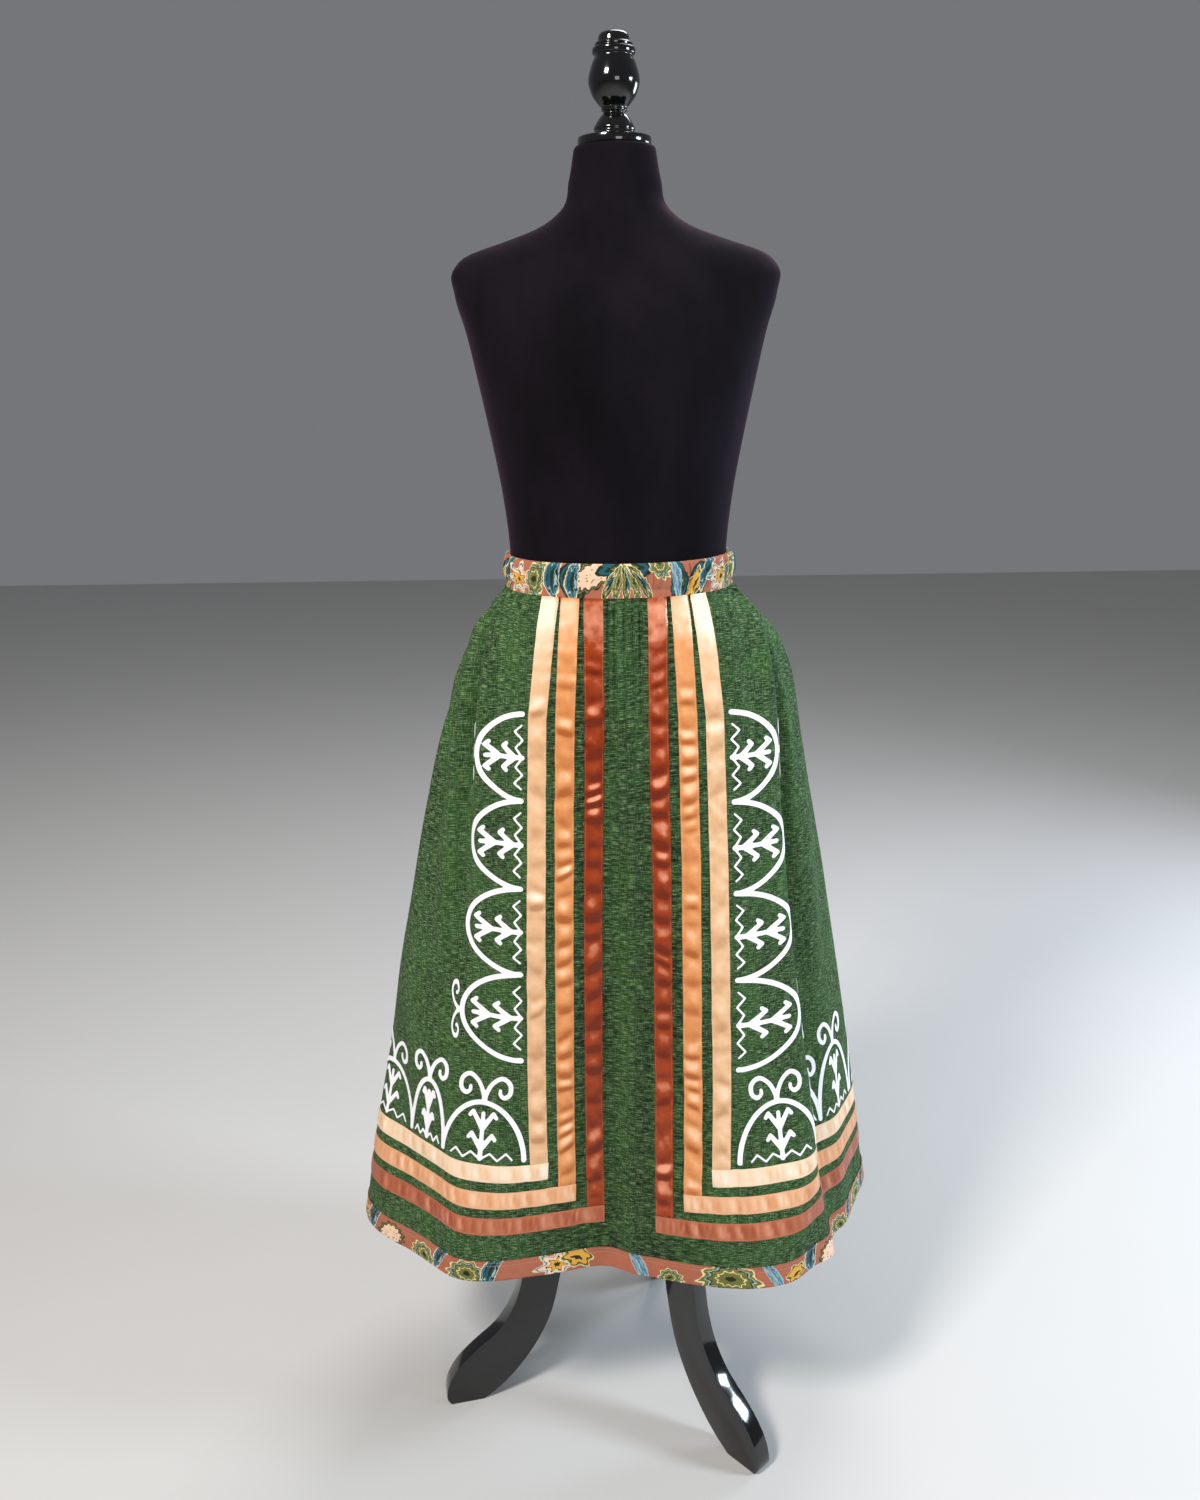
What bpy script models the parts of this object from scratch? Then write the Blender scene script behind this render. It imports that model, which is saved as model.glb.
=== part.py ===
# A ribbon skirt worn by a limbless dress form on a cabriole tripod.
# Metres, +Z up, the floor at z = 0, the front towards -Y.
# The model's origin lies on the floor, under the middle of the hem's width and depth.
import math

import bmesh
import bpy
import numpy as np
from mathutils import Matrix

# ---------------------------------------------------------------- skirt sizes
HEM_HEIGHT = 0.287
SEAM_HEIGHT = 1.120
WAISTBAND_TOP = 1.157
CLOTH_WALL = 0.0015
RIBBON_WALL = 0.0010
PIECE_GAP = 0.0003
RIBBON_WIDTH = 0.022
HEM_BAND_WIDTH = 0.027
FRONT_CENTRE_X = 0.0057
WAISTBAND_PROUD = 0.0006
WAISTBAND_SWELL = 0.0012
FORM_CLEARANCE = 0.0004

# lower edge of each horizontal ribbon above the hem
ROUND_RIBBON_RISE = {"rust": 0.061, "orange": 0.0945, "cream": 0.129}

# the skirt's outline at rising heights: reach to the left, right, front and back of the
# pole, and how square the outline is (2 is an ellipse)
SKIRT_SECTIONS = (
    # height, left, right, front, back, square
    (0.287, 0.333, 0.324, 0.170, 0.240, 2.40),
    (0.470, 0.310, 0.298, 0.148, 0.215, 2.35),
    (0.660, 0.276, 0.268, 0.137, 0.192, 2.30),
    (0.850, 0.231, 0.234, 0.128, 0.165, 2.25),
    (1.030, 0.180, 0.190, 0.119, 0.128, 2.20),
    (1.080, 0.158, 0.165, 0.114, 0.112, 2.15),
    (1.120, 0.129, 0.129, 0.106, 0.098, 2.10),
)

# folds of the hanging cloth: bearing from the front at the waist and at the hem in
# degrees (right is positive), how far the fold stands out at the hem (a dip is
# negative), its half width in degrees, and the height at which it starts
FOLDS = (
    # name, waist bearing, hem bearing, rise, half width, start
    ("front dip", 0, -12.5, -0.023, 18.5, 1.06),
    ("right front ridge", 44, 46, 0.043, 24, 0.98),
    ("right flank dip", 69, 71, -0.048, 6, 1.10),
    ("right flank spread", 72, 72, 0.024, 5.5, 0.56),
    ("right side dip", 80, 81, -0.023, 9.3, 1.10),
    ("right side ridge", 90, 98, 0.011, 7.5, 1.00),
    ("right back dip", 125, 124, -0.016, 10, 1.05),
    ("right back ridge", 150, 148, 0.018, 11, 1.00),
    ("back dip", 172, 171, -0.016, 10, 1.05),
    ("left back ridge", -162, -164, 0.018, 11, 1.00),
    ("left back dip", -138, -141, -0.016, 10, 1.05),
    ("left rear ridge", -116, -118, 0.012, 10, 1.00),
    ("left side dip", -97, -104, -0.016, 9, 1.05),
    ("left side ridge", -78, -87, 0.011, 6.5, 1.08),
    ("left flank swell", -62, -78, 0.009, 7.5, 1.10),
    ("left front ridge", -34, -49.5, 0.025, 12.5, 0.98),
)

# gaps between the vertical ribbons along the cloth: half of the centre panel, rust to
# orange, orange to cream; gathering closes them towards the waist
RIBBON_GAPS = (
    # height, centre half, rust to orange, orange to cream
    (0.287, 0.0334, 0.0139, 0.0120),
    (0.530, 0.0326, 0.0130, 0.0124),
    (0.777, 0.0292, 0.0118, 0.0103),
    (0.985, 0.0245, 0.0113, 0.0097),
    (1.120, 0.0245, 0.0045, 0.0030),
)

# columns of the mesh, counted from the front centre: the edges of the three upright ribbons,
# then the rest of one half, with the side seam on one of them
EDGE_STATIONS = {"rust": (2, 3), "orange": (4, 5), "cream": (6, 7)}
REST_STATIONS = 32
SEAM_STATION = 21

# gathers at the waist seam: crests and troughs on every other column, as shares of the depth
GATHER_DEPTH = 0.0026
GATHER_CREST = 1.0
GATHER_TROUGH = -0.45
RIBBON_GAP_PINCH = 0.5
GATHER_END = 0.93
GATHER_FADE = 1.5

# heights of the rows between the ribbons and the waist, the upper ones with double columns
LOWER_ROWS = (0.500, 0.580, 0.670, 0.770)
UPPER_ROWS = (0.880, 0.980, 1.060, 1.1197)

OUTLINE_POINTS = 1441
SAME_PLACE = 1e-6

# ---------------------------------------------------------------- dress form sizes
FORM_SECTIONS = (
    # height, half width, front, back, square
    (0.872, 0.150, 0.096, 0.110, 2.2),
    (0.884, 0.158, 0.103, 0.119, 2.2),
    (0.950, 0.165, 0.108, 0.126, 2.2),
    (1.030, 0.155, 0.107, 0.115, 2.15),
    (1.085, 0.136, 0.1035, 0.101, 2.1),
    (1.120, 0.1250, 0.1020, 0.0940, 2.1),
    (1.157, 0.1250, 0.1015, 0.0925, 2.1),
    (1.220, 0.131, 0.106, 0.097, 2.15),
    (1.290, 0.143, 0.119, 0.104, 2.2),
    (1.345, 0.154, 0.127, 0.109, 2.2),
    (1.400, 0.166, 0.117, 0.110, 2.2),
    (1.440, 0.177, 0.096, 0.105, 2.2),
    (1.465, 0.178, 0.080, 0.095, 2.1),
    (1.481, 0.160, 0.069, 0.084, 2.0),
    (1.492, 0.126, 0.062, 0.074, 2.0),
    (1.506, 0.086, 0.058, 0.066, 2.0),
    (1.523, 0.0605, 0.055, 0.058, 2.0),
    (1.555, 0.0495, 0.050, 0.050, 2.0),
    (1.587, 0.0435, 0.046, 0.044, 2.0),
)
FORM_SIDES = 32

# ---------------------------------------------------------------- turned parts, (radius, height)
NECK_PLATE_RADIUS = 0.0395
NECK_PLATE_BOTTOM = 1.5873
NECK_PLATE_TOP = 1.5970
NECK_PLATE_EDGE = 0.0012
FINIAL_PROFILE = (
    (0.0000, 1.5973), (0.0225, 1.5973), (0.0232, 1.6000), (0.0218, 1.6025), (0.0222, 1.6050),
    (0.0205, 1.6085), (0.0160, 1.6155), (0.0118, 1.6200), (0.0140, 1.6225), (0.0140, 1.6255),
    (0.0176, 1.6290), (0.0235, 1.6370), (0.0272, 1.6480), (0.0268, 1.6560), (0.0235, 1.6670),
    (0.0202, 1.6742), (0.0226, 1.6765), (0.0226, 1.6810), (0.0198, 1.6832), (0.0200, 1.6858),
    (0.0172, 1.6870), (0.0160, 1.6930), (0.0138, 1.6965), (0.0000, 1.6972),
)
FINIAL_SIDES = 20
NECK_PLATE_SIDES = 28
POLE_RADIUS = 0.0125
POLE_SIDES = 16
HUB_PROFILE = (
    (0.0000, 0.178), (0.0100, 0.181), (0.0150, 0.192), (0.0130, 0.206), (0.0200, 0.216),
    (0.0300, 0.232), (0.0340, 0.246), (0.0340, 0.346), (0.0260, 0.358), (0.0190, 0.366),
    (0.0000, 0.366),
)
HUB_SIDES = 12
HUB_RADIUS = 0.0340

# ---------------------------------------------------------------- legs, (reach from the pole, height)
LEG_BEARINGS = {"leg_front_right": 43.0, "leg_left": -77.0, "leg_back": 163.0}
LEG_WIDTH = 0.022
LEG_BEVEL = 0.0045
LEG_CURVE_STEPS = 2
LEG_OUTER = (
    (0.062, 0.329), (0.098, 0.308), (0.125, 0.268), (0.139, 0.220), (0.147, 0.175),
    (0.160, 0.138), (0.181, 0.107), (0.210, 0.083), (0.234, 0.060), (0.249, 0.036), (0.254, 0.012),
)
LEG_TOE = (0.248, 0.0)
LEG_HEEL = (0.203, 0.0)
LEG_INNER = (
    (0.178, 0.018), (0.152, 0.045), (0.127, 0.080), (0.106, 0.125), (0.093, 0.180),
    (0.087, 0.215), (0.075, 0.245), (0.055, 0.262),
)
LEG_ROOT_TOP = 0.330
LEG_ROOT_BOTTOM = 0.262


# ---------------------------------------------------------------- smooth tables
def smooth_columns(rows, height):
    """The columns of a table at a height, by a smooth curve through its rows."""
    heights = np.array([row[0] for row in rows])
    values = np.array([row[1:] for row in rows])
    spans = np.diff(heights)
    slopes = np.diff(values, axis=0) / spans[:, None]
    ahead, behind = spans[1:, None], spans[:-1, None]
    middle = (slopes[:-1] * ahead + slopes[1:] * behind) / (ahead + behind)
    tangents = np.vstack([slopes[:1], middle, slopes[-1:]])
    i = int(np.clip(np.searchsorted(heights, height) - 1, 0, len(spans) - 1))
    t = (height - heights[i]) / spans[i]
    return ((2 * t**3 - 3 * t**2 + 1) * values[i] + (t**3 - 2 * t**2 + t) * spans[i] * tangents[i]
            + (3 * t**2 - 2 * t**3) * values[i + 1] + (t**3 - t**2) * spans[i] * tangents[i + 1])


def straight_columns(rows, height):
    """The columns of a table at a height, by straight lines between its rows."""
    heights = [row[0] for row in rows]
    return [np.interp(height, heights, [row[k] for row in rows]) for k in range(1, len(rows[0]))]


def rounded_radius(bearing, left, right, front, back, square):
    """Radius of a rounded outline that reaches a different way on each side."""
    across = np.abs(np.sin(bearing) / np.where(np.sin(bearing) > 0, right, left))
    along = np.abs(np.cos(bearing) / np.where(np.cos(bearing) > 0, front, back))
    return (across**square + along**square) ** (-1.0 / square)


# ---------------------------------------------------------------- the skirt's surface
def skirt_radius(bearing, height):
    """Distance from the pole to the cloth's outer face, folds included."""
    radius = rounded_radius(bearing, *smooth_columns(SKIRT_SECTIONS, height))
    share = (SEAM_HEIGHT - height) / (SEAM_HEIGHT - HEM_HEIGHT)
    for _, waist_bearing, hem_bearing, rise, half_width, start in FOLDS:
        middle = math.radians(waist_bearing + (hem_bearing - waist_bearing) * share)
        growth = max(0.0, (start - height) / (start - HEM_HEIGHT))
        away = (bearing - middle + math.pi) % (2 * math.pi) - math.pi
        radius = radius + rise * growth * np.exp(-(away / math.radians(half_width)) ** 2)
    return radius


def section(height):
    """Outline at a height: points, outward level directions and cloth length from the front centre."""
    bearing = np.linspace(-math.pi, math.pi, OUTLINE_POINTS)
    radius = skirt_radius(bearing, height)
    points = np.stack([radius * np.sin(bearing), -radius * np.cos(bearing)], axis=1)
    steps = np.hypot(*np.diff(points, axis=0).T)
    length = np.concatenate([[0.0], np.cumsum(steps)])
    centre = np.interp(0.0, bearing, length) + FRONT_CENTRE_X
    tangent = np.gradient(points, axis=0)
    outward = np.stack([tangent[:, 1], -tangent[:, 0]], axis=1)
    outward /= np.linalg.norm(outward, axis=1)[:, None]
    return points, outward, length - centre, length[-1]


def station_lengths(height, girth):
    """Cloth length from the front centre to each column of the right half, round to the back."""
    centre_half, rust_orange, orange_cream = straight_columns(RIBBON_GAPS, height)
    edges = [0.0, centre_half / 2]
    start = centre_half
    for gap in (rust_orange, orange_cream, 0.0):
        edges += [start, start + RIBBON_WIDTH]
        start += RIBBON_WIDTH + gap
    rest = [edges[-1] + (girth / 2 - edges[-1]) * k / REST_STATIONS for k in range(1, REST_STATIONS + 1)]
    return edges + rest


FIRST_EDGE = EDGE_STATIONS["rust"][0]
LAST_EDGE = EDGE_STATIONS["cream"][1]
STATIONS = 2 * (LAST_EDGE + REST_STATIONS)


def gather_share(place):
    """How a column moves with the gathers: out on a crest, in at a trough, 0 beside a ribbon."""
    side = min(place, STATIONS - place)
    if FIRST_EDGE <= side <= LAST_EDGE:
        return 0.0
    return GATHER_CREST if side % 2 else GATHER_TROUGH


def ring(height, fine):
    """Outer points and level outward directions of the cloth at a height, one for each column.

    Columns run from the front centre to the right, round the back and home from the left.
    A fine ring also has a point halfway between columns."""
    points, outward, length, girth = section(height)
    half = station_lengths(height, girth)
    lengths = half + [-value for value in half[-2:0:-1]]
    gather = GATHER_DEPTH * np.clip((height - GATHER_END) / (SEAM_HEIGHT - GATHER_END), 0, 1) ** GATHER_FADE

    def at(value):
        value = (value - length[0]) % girth + length[0]
        place = np.array([np.interp(value, length, points[:, k]) for k in (0, 1)])
        away = np.array([np.interp(value, length, outward[:, k]) for k in (0, 1)])
        return place, away / np.linalg.norm(away)

    result = []
    for i, value in enumerate(lengths):
        place, away = at(value)
        result.append((place + away * gather * gather_share(i), away))
        if not fine:
            continue
        following = lengths[(i + 1) % STATIONS]
        if following < value:
            following += girth
        mid_place, mid_away = at((value + following) / 2)
        side = min(i, STATIONS - 1 - i)
        under_ribbon = FIRST_EDGE <= side < LAST_EDGE and (side - FIRST_EDGE) % 2 == 0
        if under_ribbon:
            next_place, _ = at(following)
            mid_place = (place + next_place) / 2
        elif FIRST_EDGE <= side < LAST_EDGE:
            mid_place = mid_place - mid_away * gather * RIBBON_GAP_PINCH
        result.append((mid_place, mid_away))
    return result


# ---------------------------------------------------------------- mesh helpers
def finish(name, mesh_bm, smooth_angle=35):
    """Turn a bmesh into an object of this name, faces outward, smooth where it is round."""
    bmesh.ops.remove_doubles(mesh_bm, verts=mesh_bm.verts, dist=SAME_PLACE)
    bmesh.ops.recalc_face_normals(mesh_bm, faces=mesh_bm.faces)
    mesh = bpy.data.meshes.new(name)
    mesh_bm.to_mesh(mesh)
    mesh_bm.free()
    mesh.shade_smooth()
    mesh.set_sharp_from_angle(angle=math.radians(smooth_angle))
    made = bpy.data.objects.new(name, mesh)
    bpy.context.scene.collection.objects.link(made)
    return made


def split_face(mesh_bm, a, b, c, d):
    """Two triangles over the corners a, b, c, d, always split from a to c."""
    mesh_bm.faces.new((a, b, c))
    mesh_bm.faces.new((a, c, d))


def wall(name, rings, inset, depth, closed):
    """A cloth wall through level rings of (height, [(place, away), ...]).

    The outer face stands inset behind the ring's points (a negative inset stands proud), and the
    inner face lies depth behind it. Where a ring has twice the columns of the one below, the
    cells between them are split in three."""
    mesh_bm = bmesh.new()
    faces = []
    for move in (inset, inset + depth):
        faces.append([[mesh_bm.verts.new((*(place - away * move), height)) for place, away in points]
                      for height, points in rings])
    outer, inner = faces

    def cells(count):
        return range(count if closed else count - 1)

    for layer in (outer, inner):
        for low, high in zip(layer[:-1], layer[1:]):
            if len(low) == len(high):
                for i in cells(len(low)):
                    j = (i + 1) % len(low)
                    split_face(mesh_bm, low[i], low[j], high[j], high[i])
                continue
            for i in cells(len(low)):
                j = (i + 1) % len(low)
                left, middle, right = high[2 * i], high[2 * i + 1], high[(2 * j) % len(high)]
                mesh_bm.faces.new((low[i], middle, left))
                mesh_bm.faces.new((low[i], low[j], middle))
                mesh_bm.faces.new((low[j], right, middle))
    for k in (0, -1):
        for i in cells(len(outer[k])):
            j = (i + 1) % len(outer[k])
            split_face(mesh_bm, outer[k][i], outer[k][j], inner[k][j], inner[k][i])
    if not closed:
        for end in (0, -1):
            for low in range(len(rings) - 1):
                split_face(mesh_bm, outer[low][end], outer[low + 1][end],
                           inner[low + 1][end], inner[low][end])
    return finish(name, mesh_bm)


def lathe(name, profile, sides, turn=0.0):
    """A turned solid about the pole: the profile runs from the axis up to the axis."""
    mesh_bm = bmesh.new()
    verts = [mesh_bm.verts.new((radius, 0.0, height)) for radius, height in profile]
    edges = [mesh_bm.edges.new(pair) for pair in zip(verts[:-1], verts[1:])]
    bmesh.ops.rotate(mesh_bm, verts=verts, cent=(0, 0, 0), matrix=Matrix.Rotation(turn, 3, "Z"))
    bmesh.ops.spin(mesh_bm, geom=verts + edges, cent=(0, 0, 0), axis=(0, 0, 1),
                   angle=2 * math.pi, steps=sides, use_merge=True)
    return finish(name, mesh_bm)


def curve_through(points, steps):
    """Points on a smooth curve through the given ones, steps to each span."""
    rows = np.array(points, dtype=float)
    padded = np.vstack([2 * rows[0] - rows[1], rows, 2 * rows[-1] - rows[-2]])
    result = []
    for i in range(1, len(padded) - 2):
        before, here, there, after = padded[i - 1:i + 3]
        for t in np.arange(steps) / steps:
            result.append(0.5 * (2 * here + (there - before) * t
                                 + (2 * before - 5 * here + 4 * there - after) * t**2
                                 + (3 * here - before - 3 * there + after) * t**3))
    result.append(padded[-2])
    return result


# ---------------------------------------------------------------- garment pieces
ribbon_rows = sorted(HEM_HEIGHT + rise + edge
                     for rise in ROUND_RIBBON_RISE.values() for edge in (0.0, RIBBON_WIDTH))
panel_rows = [HEM_HEIGHT, HEM_HEIGHT + HEM_BAND_WIDTH, *ribbon_rows, *LOWER_ROWS]
coarse_rings = [(height, ring(height, False)) for height in panel_rows]
fine_rings = [(height, ring(height, True)) for height in UPPER_ROWS]


def between(rings, first, last):
    """The part of each ring from one column to another, going round to the right."""
    result = []
    for height, points in rings:
        fineness = len(points) // STATIONS
        count = (last - first) * fineness + 1
        result.append((height, [points[(first * fineness + k) % len(points)] for k in range(count)]))
    return result


def shy_of_seams(rings):
    """Move the two end columns in from the side seams by half the gap between pieces."""
    result = []
    for height, points in rings:
        points = list(points)
        for end, inner in ((0, 1), (-1, -2)):
            place, away = points[end]
            along = points[inner][0] - place
            points[end] = (place + along / np.linalg.norm(along) * PIECE_GAP / 2, away)
        result.append((height, points))
    return result


def skirt_panels():
    rings = coarse_rings + fine_rings
    front = shy_of_seams(between(rings, STATIONS - SEAM_STATION, STATIONS + SEAM_STATION))
    back = shy_of_seams(between(rings, SEAM_STATION, STATIONS - SEAM_STATION))
    return [wall("skirt_front", front, 0.0, CLOTH_WALL, False),
            wall("skirt_back", back, 0.0, CLOTH_WALL, False)]


def hem_band():
    return wall("hem_band", coarse_rings[:2], -PIECE_GAP - RIBBON_WALL, RIBBON_WALL, True)


def vertical_ribbon(colour, side):
    """One upright ribbon, from the waist seam to just above its round ribbon."""
    inner, outer = EDGE_STATIONS[colour]
    first, last = (inner, outer) if side == "right" else (STATIONS - outer, STATIONS - inner)
    foot = HEM_HEIGHT + ROUND_RIBBON_RISE[colour] + RIBBON_WIDTH + PIECE_GAP
    above = [row for row in coarse_rings if row[0] > foot + PIECE_GAP]
    strip = between([(foot, ring(foot, False))] + above + fine_rings, first, last)
    return wall(f"ribbon_{colour}_{side}", strip, -PIECE_GAP - RIBBON_WALL, RIBBON_WALL, False)


def round_ribbon(colour):
    """One ribbon that starts at the foot of its right upright and ends at the left one's."""
    inner = EDGE_STATIONS[colour][0]
    low = HEM_HEIGHT + ROUND_RIBBON_RISE[colour]
    high = low + RIBBON_WIDTH
    rows = [row for row in coarse_rings if low - SAME_PLACE < row[0] < high + SAME_PLACE]
    strip = between(rows, inner, STATIONS - inner)
    return wall(f"ribbon_{colour}_round", strip, -PIECE_GAP - RIBBON_WALL, RIBBON_WALL, False)


def waistband():
    """The gathered elastic casing: a swelling outer face over a plain inside round the form."""
    heights = (SEAM_HEIGHT, (SEAM_HEIGHT + WAISTBAND_TOP) / 2, WAISTBAND_TOP)
    seam = ring(SEAM_HEIGHT, True)
    mesh_bm = bmesh.new()
    outer, inner = [], []
    for k, height in enumerate(heights):
        swell = WAISTBAND_PROUD + (WAISTBAND_SWELL if k == 1 else 0.0)
        outer.append([mesh_bm.verts.new((*(place + away * swell), height)) for place, away in seam])
    for height in (heights[0], heights[-1]):
        row = []
        for place, _ in seam:
            bearing = math.atan2(place[0], -place[1])
            reach = form_radius(bearing, height) + FORM_CLEARANCE
            row.append(mesh_bm.verts.new((reach * math.sin(bearing), -reach * math.cos(bearing), height)))
        inner.append(row)
    loop = [outer[0], outer[1], outer[2], inner[1], inner[0]]
    for low, high in zip(loop, loop[1:] + loop[:1]):
        for i in range(len(seam)):
            j = (i + 1) % len(seam)
            split_face(mesh_bm, low[i], low[j], high[j], high[i])
    return finish("waistband", mesh_bm)


# ---------------------------------------------------------------- dress form and stand
def form_radius(bearing, height):
    half_width, front, back, square = smooth_columns(FORM_SECTIONS, height)
    return rounded_radius(bearing, half_width, half_width, front, back, square)


def dress_form():
    """Smooth limbless torso, from a flat base at the hips to the flat top of the neck."""
    mesh_bm = bmesh.new()
    bearings = np.linspace(0, 2 * math.pi, FORM_SIDES, endpoint=False)
    rows = []
    for height in [row[0] for row in FORM_SECTIONS]:
        reach = form_radius(bearings, height)
        rows.append([mesh_bm.verts.new((r * math.sin(b), -r * math.cos(b), height))
                     for r, b in zip(reach, bearings)])
    for low, high in zip(rows[:-1], rows[1:]):
        for i in range(FORM_SIDES):
            j = (i + 1) % FORM_SIDES
            split_face(mesh_bm, low[i], low[j], high[j], high[i])
    mesh_bm.faces.new(rows[0][::-1])
    mesh_bm.faces.new(rows[-1])
    return finish("form", mesh_bm)


def neck_plate():
    edge = NECK_PLATE_EDGE
    profile = ((0.0, NECK_PLATE_BOTTOM), (NECK_PLATE_RADIUS - edge, NECK_PLATE_BOTTOM),
               (NECK_PLATE_RADIUS, NECK_PLATE_BOTTOM + edge), (NECK_PLATE_RADIUS, NECK_PLATE_TOP - edge),
               (NECK_PLATE_RADIUS - edge, NECK_PLATE_TOP), (0.0, NECK_PLATE_TOP))
    return lathe("neck_plate", profile, NECK_PLATE_SIDES)


def pole():
    low = HUB_PROFILE[-1][1] + PIECE_GAP
    high = FORM_SECTIONS[0][0] - PIECE_GAP
    profile = ((0.0, low), (POLE_RADIUS, low), (POLE_RADIUS, high), (0.0, high))
    return lathe("pole", profile, POLE_SIDES)


def leg(name):
    """A cabriole leg: its side outline, extruded to width, with its outer edges rounded."""
    root = HUB_RADIUS * math.cos(math.pi / HUB_SIDES) + PIECE_GAP
    outer = curve_through([(root, LEG_ROOT_TOP), *LEG_OUTER, LEG_TOE], LEG_CURVE_STEPS)
    inner = curve_through([LEG_HEEL, *LEG_INNER, (root, LEG_ROOT_BOTTOM)], LEG_CURVE_STEPS)
    for point in (*outer, *inner):
        point[1] = max(point[1], 0.0)
    bearing = math.radians(LEG_BEARINGS[name])
    forward = np.array([math.sin(bearing), -math.cos(bearing)])
    side = np.array([math.cos(bearing), math.sin(bearing)])
    mesh_bm = bmesh.new()
    near = [mesh_bm.verts.new((*(forward * reach - side * LEG_WIDTH / 2), height))
            for reach, height in (*outer, *inner)]
    face = mesh_bm.faces.new(near)
    made = bmesh.ops.extrude_face_region(mesh_bm, geom=[face])["geom"]
    far = [item for item in made if isinstance(item, bmesh.types.BMVert)]
    bmesh.ops.translate(mesh_bm, verts=far, vec=(*(side * LEG_WIDTH), 0.0))
    rounded = []
    for edge in mesh_bm.edges:
        reaches = [np.dot(vert.co[:2], forward) for vert in edge.verts]
        sides = [np.dot(vert.co[:2], side) for vert in edge.verts]
        along = abs(sides[0] - sides[1]) < SAME_PLACE
        on_outer = all(min(abs(reach - point[0]) + abs(vert.co.z - point[1]) for point in outer[:-2])
                       < 10 * SAME_PLACE for reach, vert in zip(reaches, edge.verts))
        if along and on_outer:
            rounded.append(edge)
    bmesh.ops.bevel(mesh_bm, geom=rounded, offset=LEG_BEVEL, offset_type="OFFSET", affect="EDGES",
                    segments=2, profile=0.5, material=-1, clamp_overlap=True)
    return finish(name, mesh_bm)


# ---------------------------------------------------------------- finishes
FINISHES = {
    "green_linen": ((0.040, 0.110, 0.045), 0.85),
    "rust_satin": ((0.290, 0.060, 0.030), 0.35),
    "orange_satin": ((0.600, 0.280, 0.120), 0.35),
    "cream_satin": ((0.850, 0.610, 0.380), 0.35),
    "printed_cotton": ((0.480, 0.180, 0.090), 0.80),
    "black_velvet": ((0.006, 0.005, 0.006), 0.95),
    "black_lacquer": ((0.004, 0.004, 0.004), 0.15),
    "black_pole": ((0.010, 0.010, 0.010), 0.40),
}


def paint(made, finish_name):
    """Give an object its own Principled material in one of the finishes."""
    colour, roughness = FINISHES[finish_name]
    material = bpy.data.materials.new(f"{made.name}_{finish_name}")
    material.use_nodes = True
    shader = material.node_tree.nodes["Principled BSDF"]
    shader.inputs["Base Color"].default_value = (*colour, 1.0)
    shader.inputs["Roughness"].default_value = roughness
    shader.inputs["Metallic"].default_value = 0.0
    made.data.materials.append(material)
    return made


def centre_on_hem(objects):
    """Slide the whole model level, so that the origin is under the middle of the hem."""
    corners = np.array([vert.co for made in objects for vert in made.data.vertices])
    middle = (corners.min(axis=0) + corners.max(axis=0)) / 2
    for made in objects:
        for vert in made.data.vertices:
            vert.co.x -= middle[0]
            vert.co.y -= middle[1]


def main():
    for old in list(bpy.data.objects):
        bpy.data.objects.remove(old, do_unlink=True)
    made = [paint(panel, "green_linen") for panel in skirt_panels()]
    made.append(paint(waistband(), "printed_cotton"))
    made.append(paint(hem_band(), "printed_cotton"))
    for colour in EDGE_STATIONS:
        for side in ("left", "right"):
            made.append(paint(vertical_ribbon(colour, side), f"{colour}_satin"))
        made.append(paint(round_ribbon(colour), f"{colour}_satin"))
    made.append(paint(dress_form(), "black_velvet"))
    made.append(paint(neck_plate(), "black_lacquer"))
    made.append(paint(lathe("finial", FINIAL_PROFILE, FINIAL_SIDES), "black_lacquer"))
    made.append(paint(pole(), "black_pole"))
    facet = math.radians(LEG_BEARINGS["leg_front_right"] - 90.0) + math.pi / HUB_SIDES
    made.append(paint(lathe("hub", HUB_PROFILE, HUB_SIDES, facet), "black_lacquer"))
    made.extend(paint(leg(name), "black_lacquer") for name in LEG_BEARINGS)
    centre_on_hem(made)


main()
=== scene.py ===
# A gathered ribbon skirt on a velvet dress form with a tripod stand.
import math

import bmesh
import bpy
import numpy as np
from mathutils import Matrix, Vector


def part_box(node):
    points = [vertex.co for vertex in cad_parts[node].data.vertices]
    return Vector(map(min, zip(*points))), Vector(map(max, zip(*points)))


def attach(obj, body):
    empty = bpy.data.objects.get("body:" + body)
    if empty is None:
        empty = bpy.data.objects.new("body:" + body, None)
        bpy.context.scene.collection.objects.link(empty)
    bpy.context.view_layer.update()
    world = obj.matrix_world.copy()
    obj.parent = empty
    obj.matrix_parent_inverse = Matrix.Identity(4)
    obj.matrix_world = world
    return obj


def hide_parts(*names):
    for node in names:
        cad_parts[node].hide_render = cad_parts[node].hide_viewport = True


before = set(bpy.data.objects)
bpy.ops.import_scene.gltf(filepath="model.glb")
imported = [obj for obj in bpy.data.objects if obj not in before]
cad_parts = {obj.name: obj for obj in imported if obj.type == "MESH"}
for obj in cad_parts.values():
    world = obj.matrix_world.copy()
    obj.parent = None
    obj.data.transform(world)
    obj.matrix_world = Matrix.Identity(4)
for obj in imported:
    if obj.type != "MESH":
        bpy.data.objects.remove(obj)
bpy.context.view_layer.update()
poleLow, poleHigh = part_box("pole")
poleX = (poleLow.x + poleHigh.x) / 2
poleY = (poleLow.y + poleHigh.y) / 2
print("frame loaded, pole at", round(poleX, 4), round(poleY, 4))


# small tools
def toLinear(hexColour):
    values = [int(hexColour[i:i + 2], 16) / 255 for i in (1, 3, 5)]
    return [v / 12.92 if v <= 0.04045 else ((v + 0.055) / 1.055) ** 2.4 for v in values] + [1.0]


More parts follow.
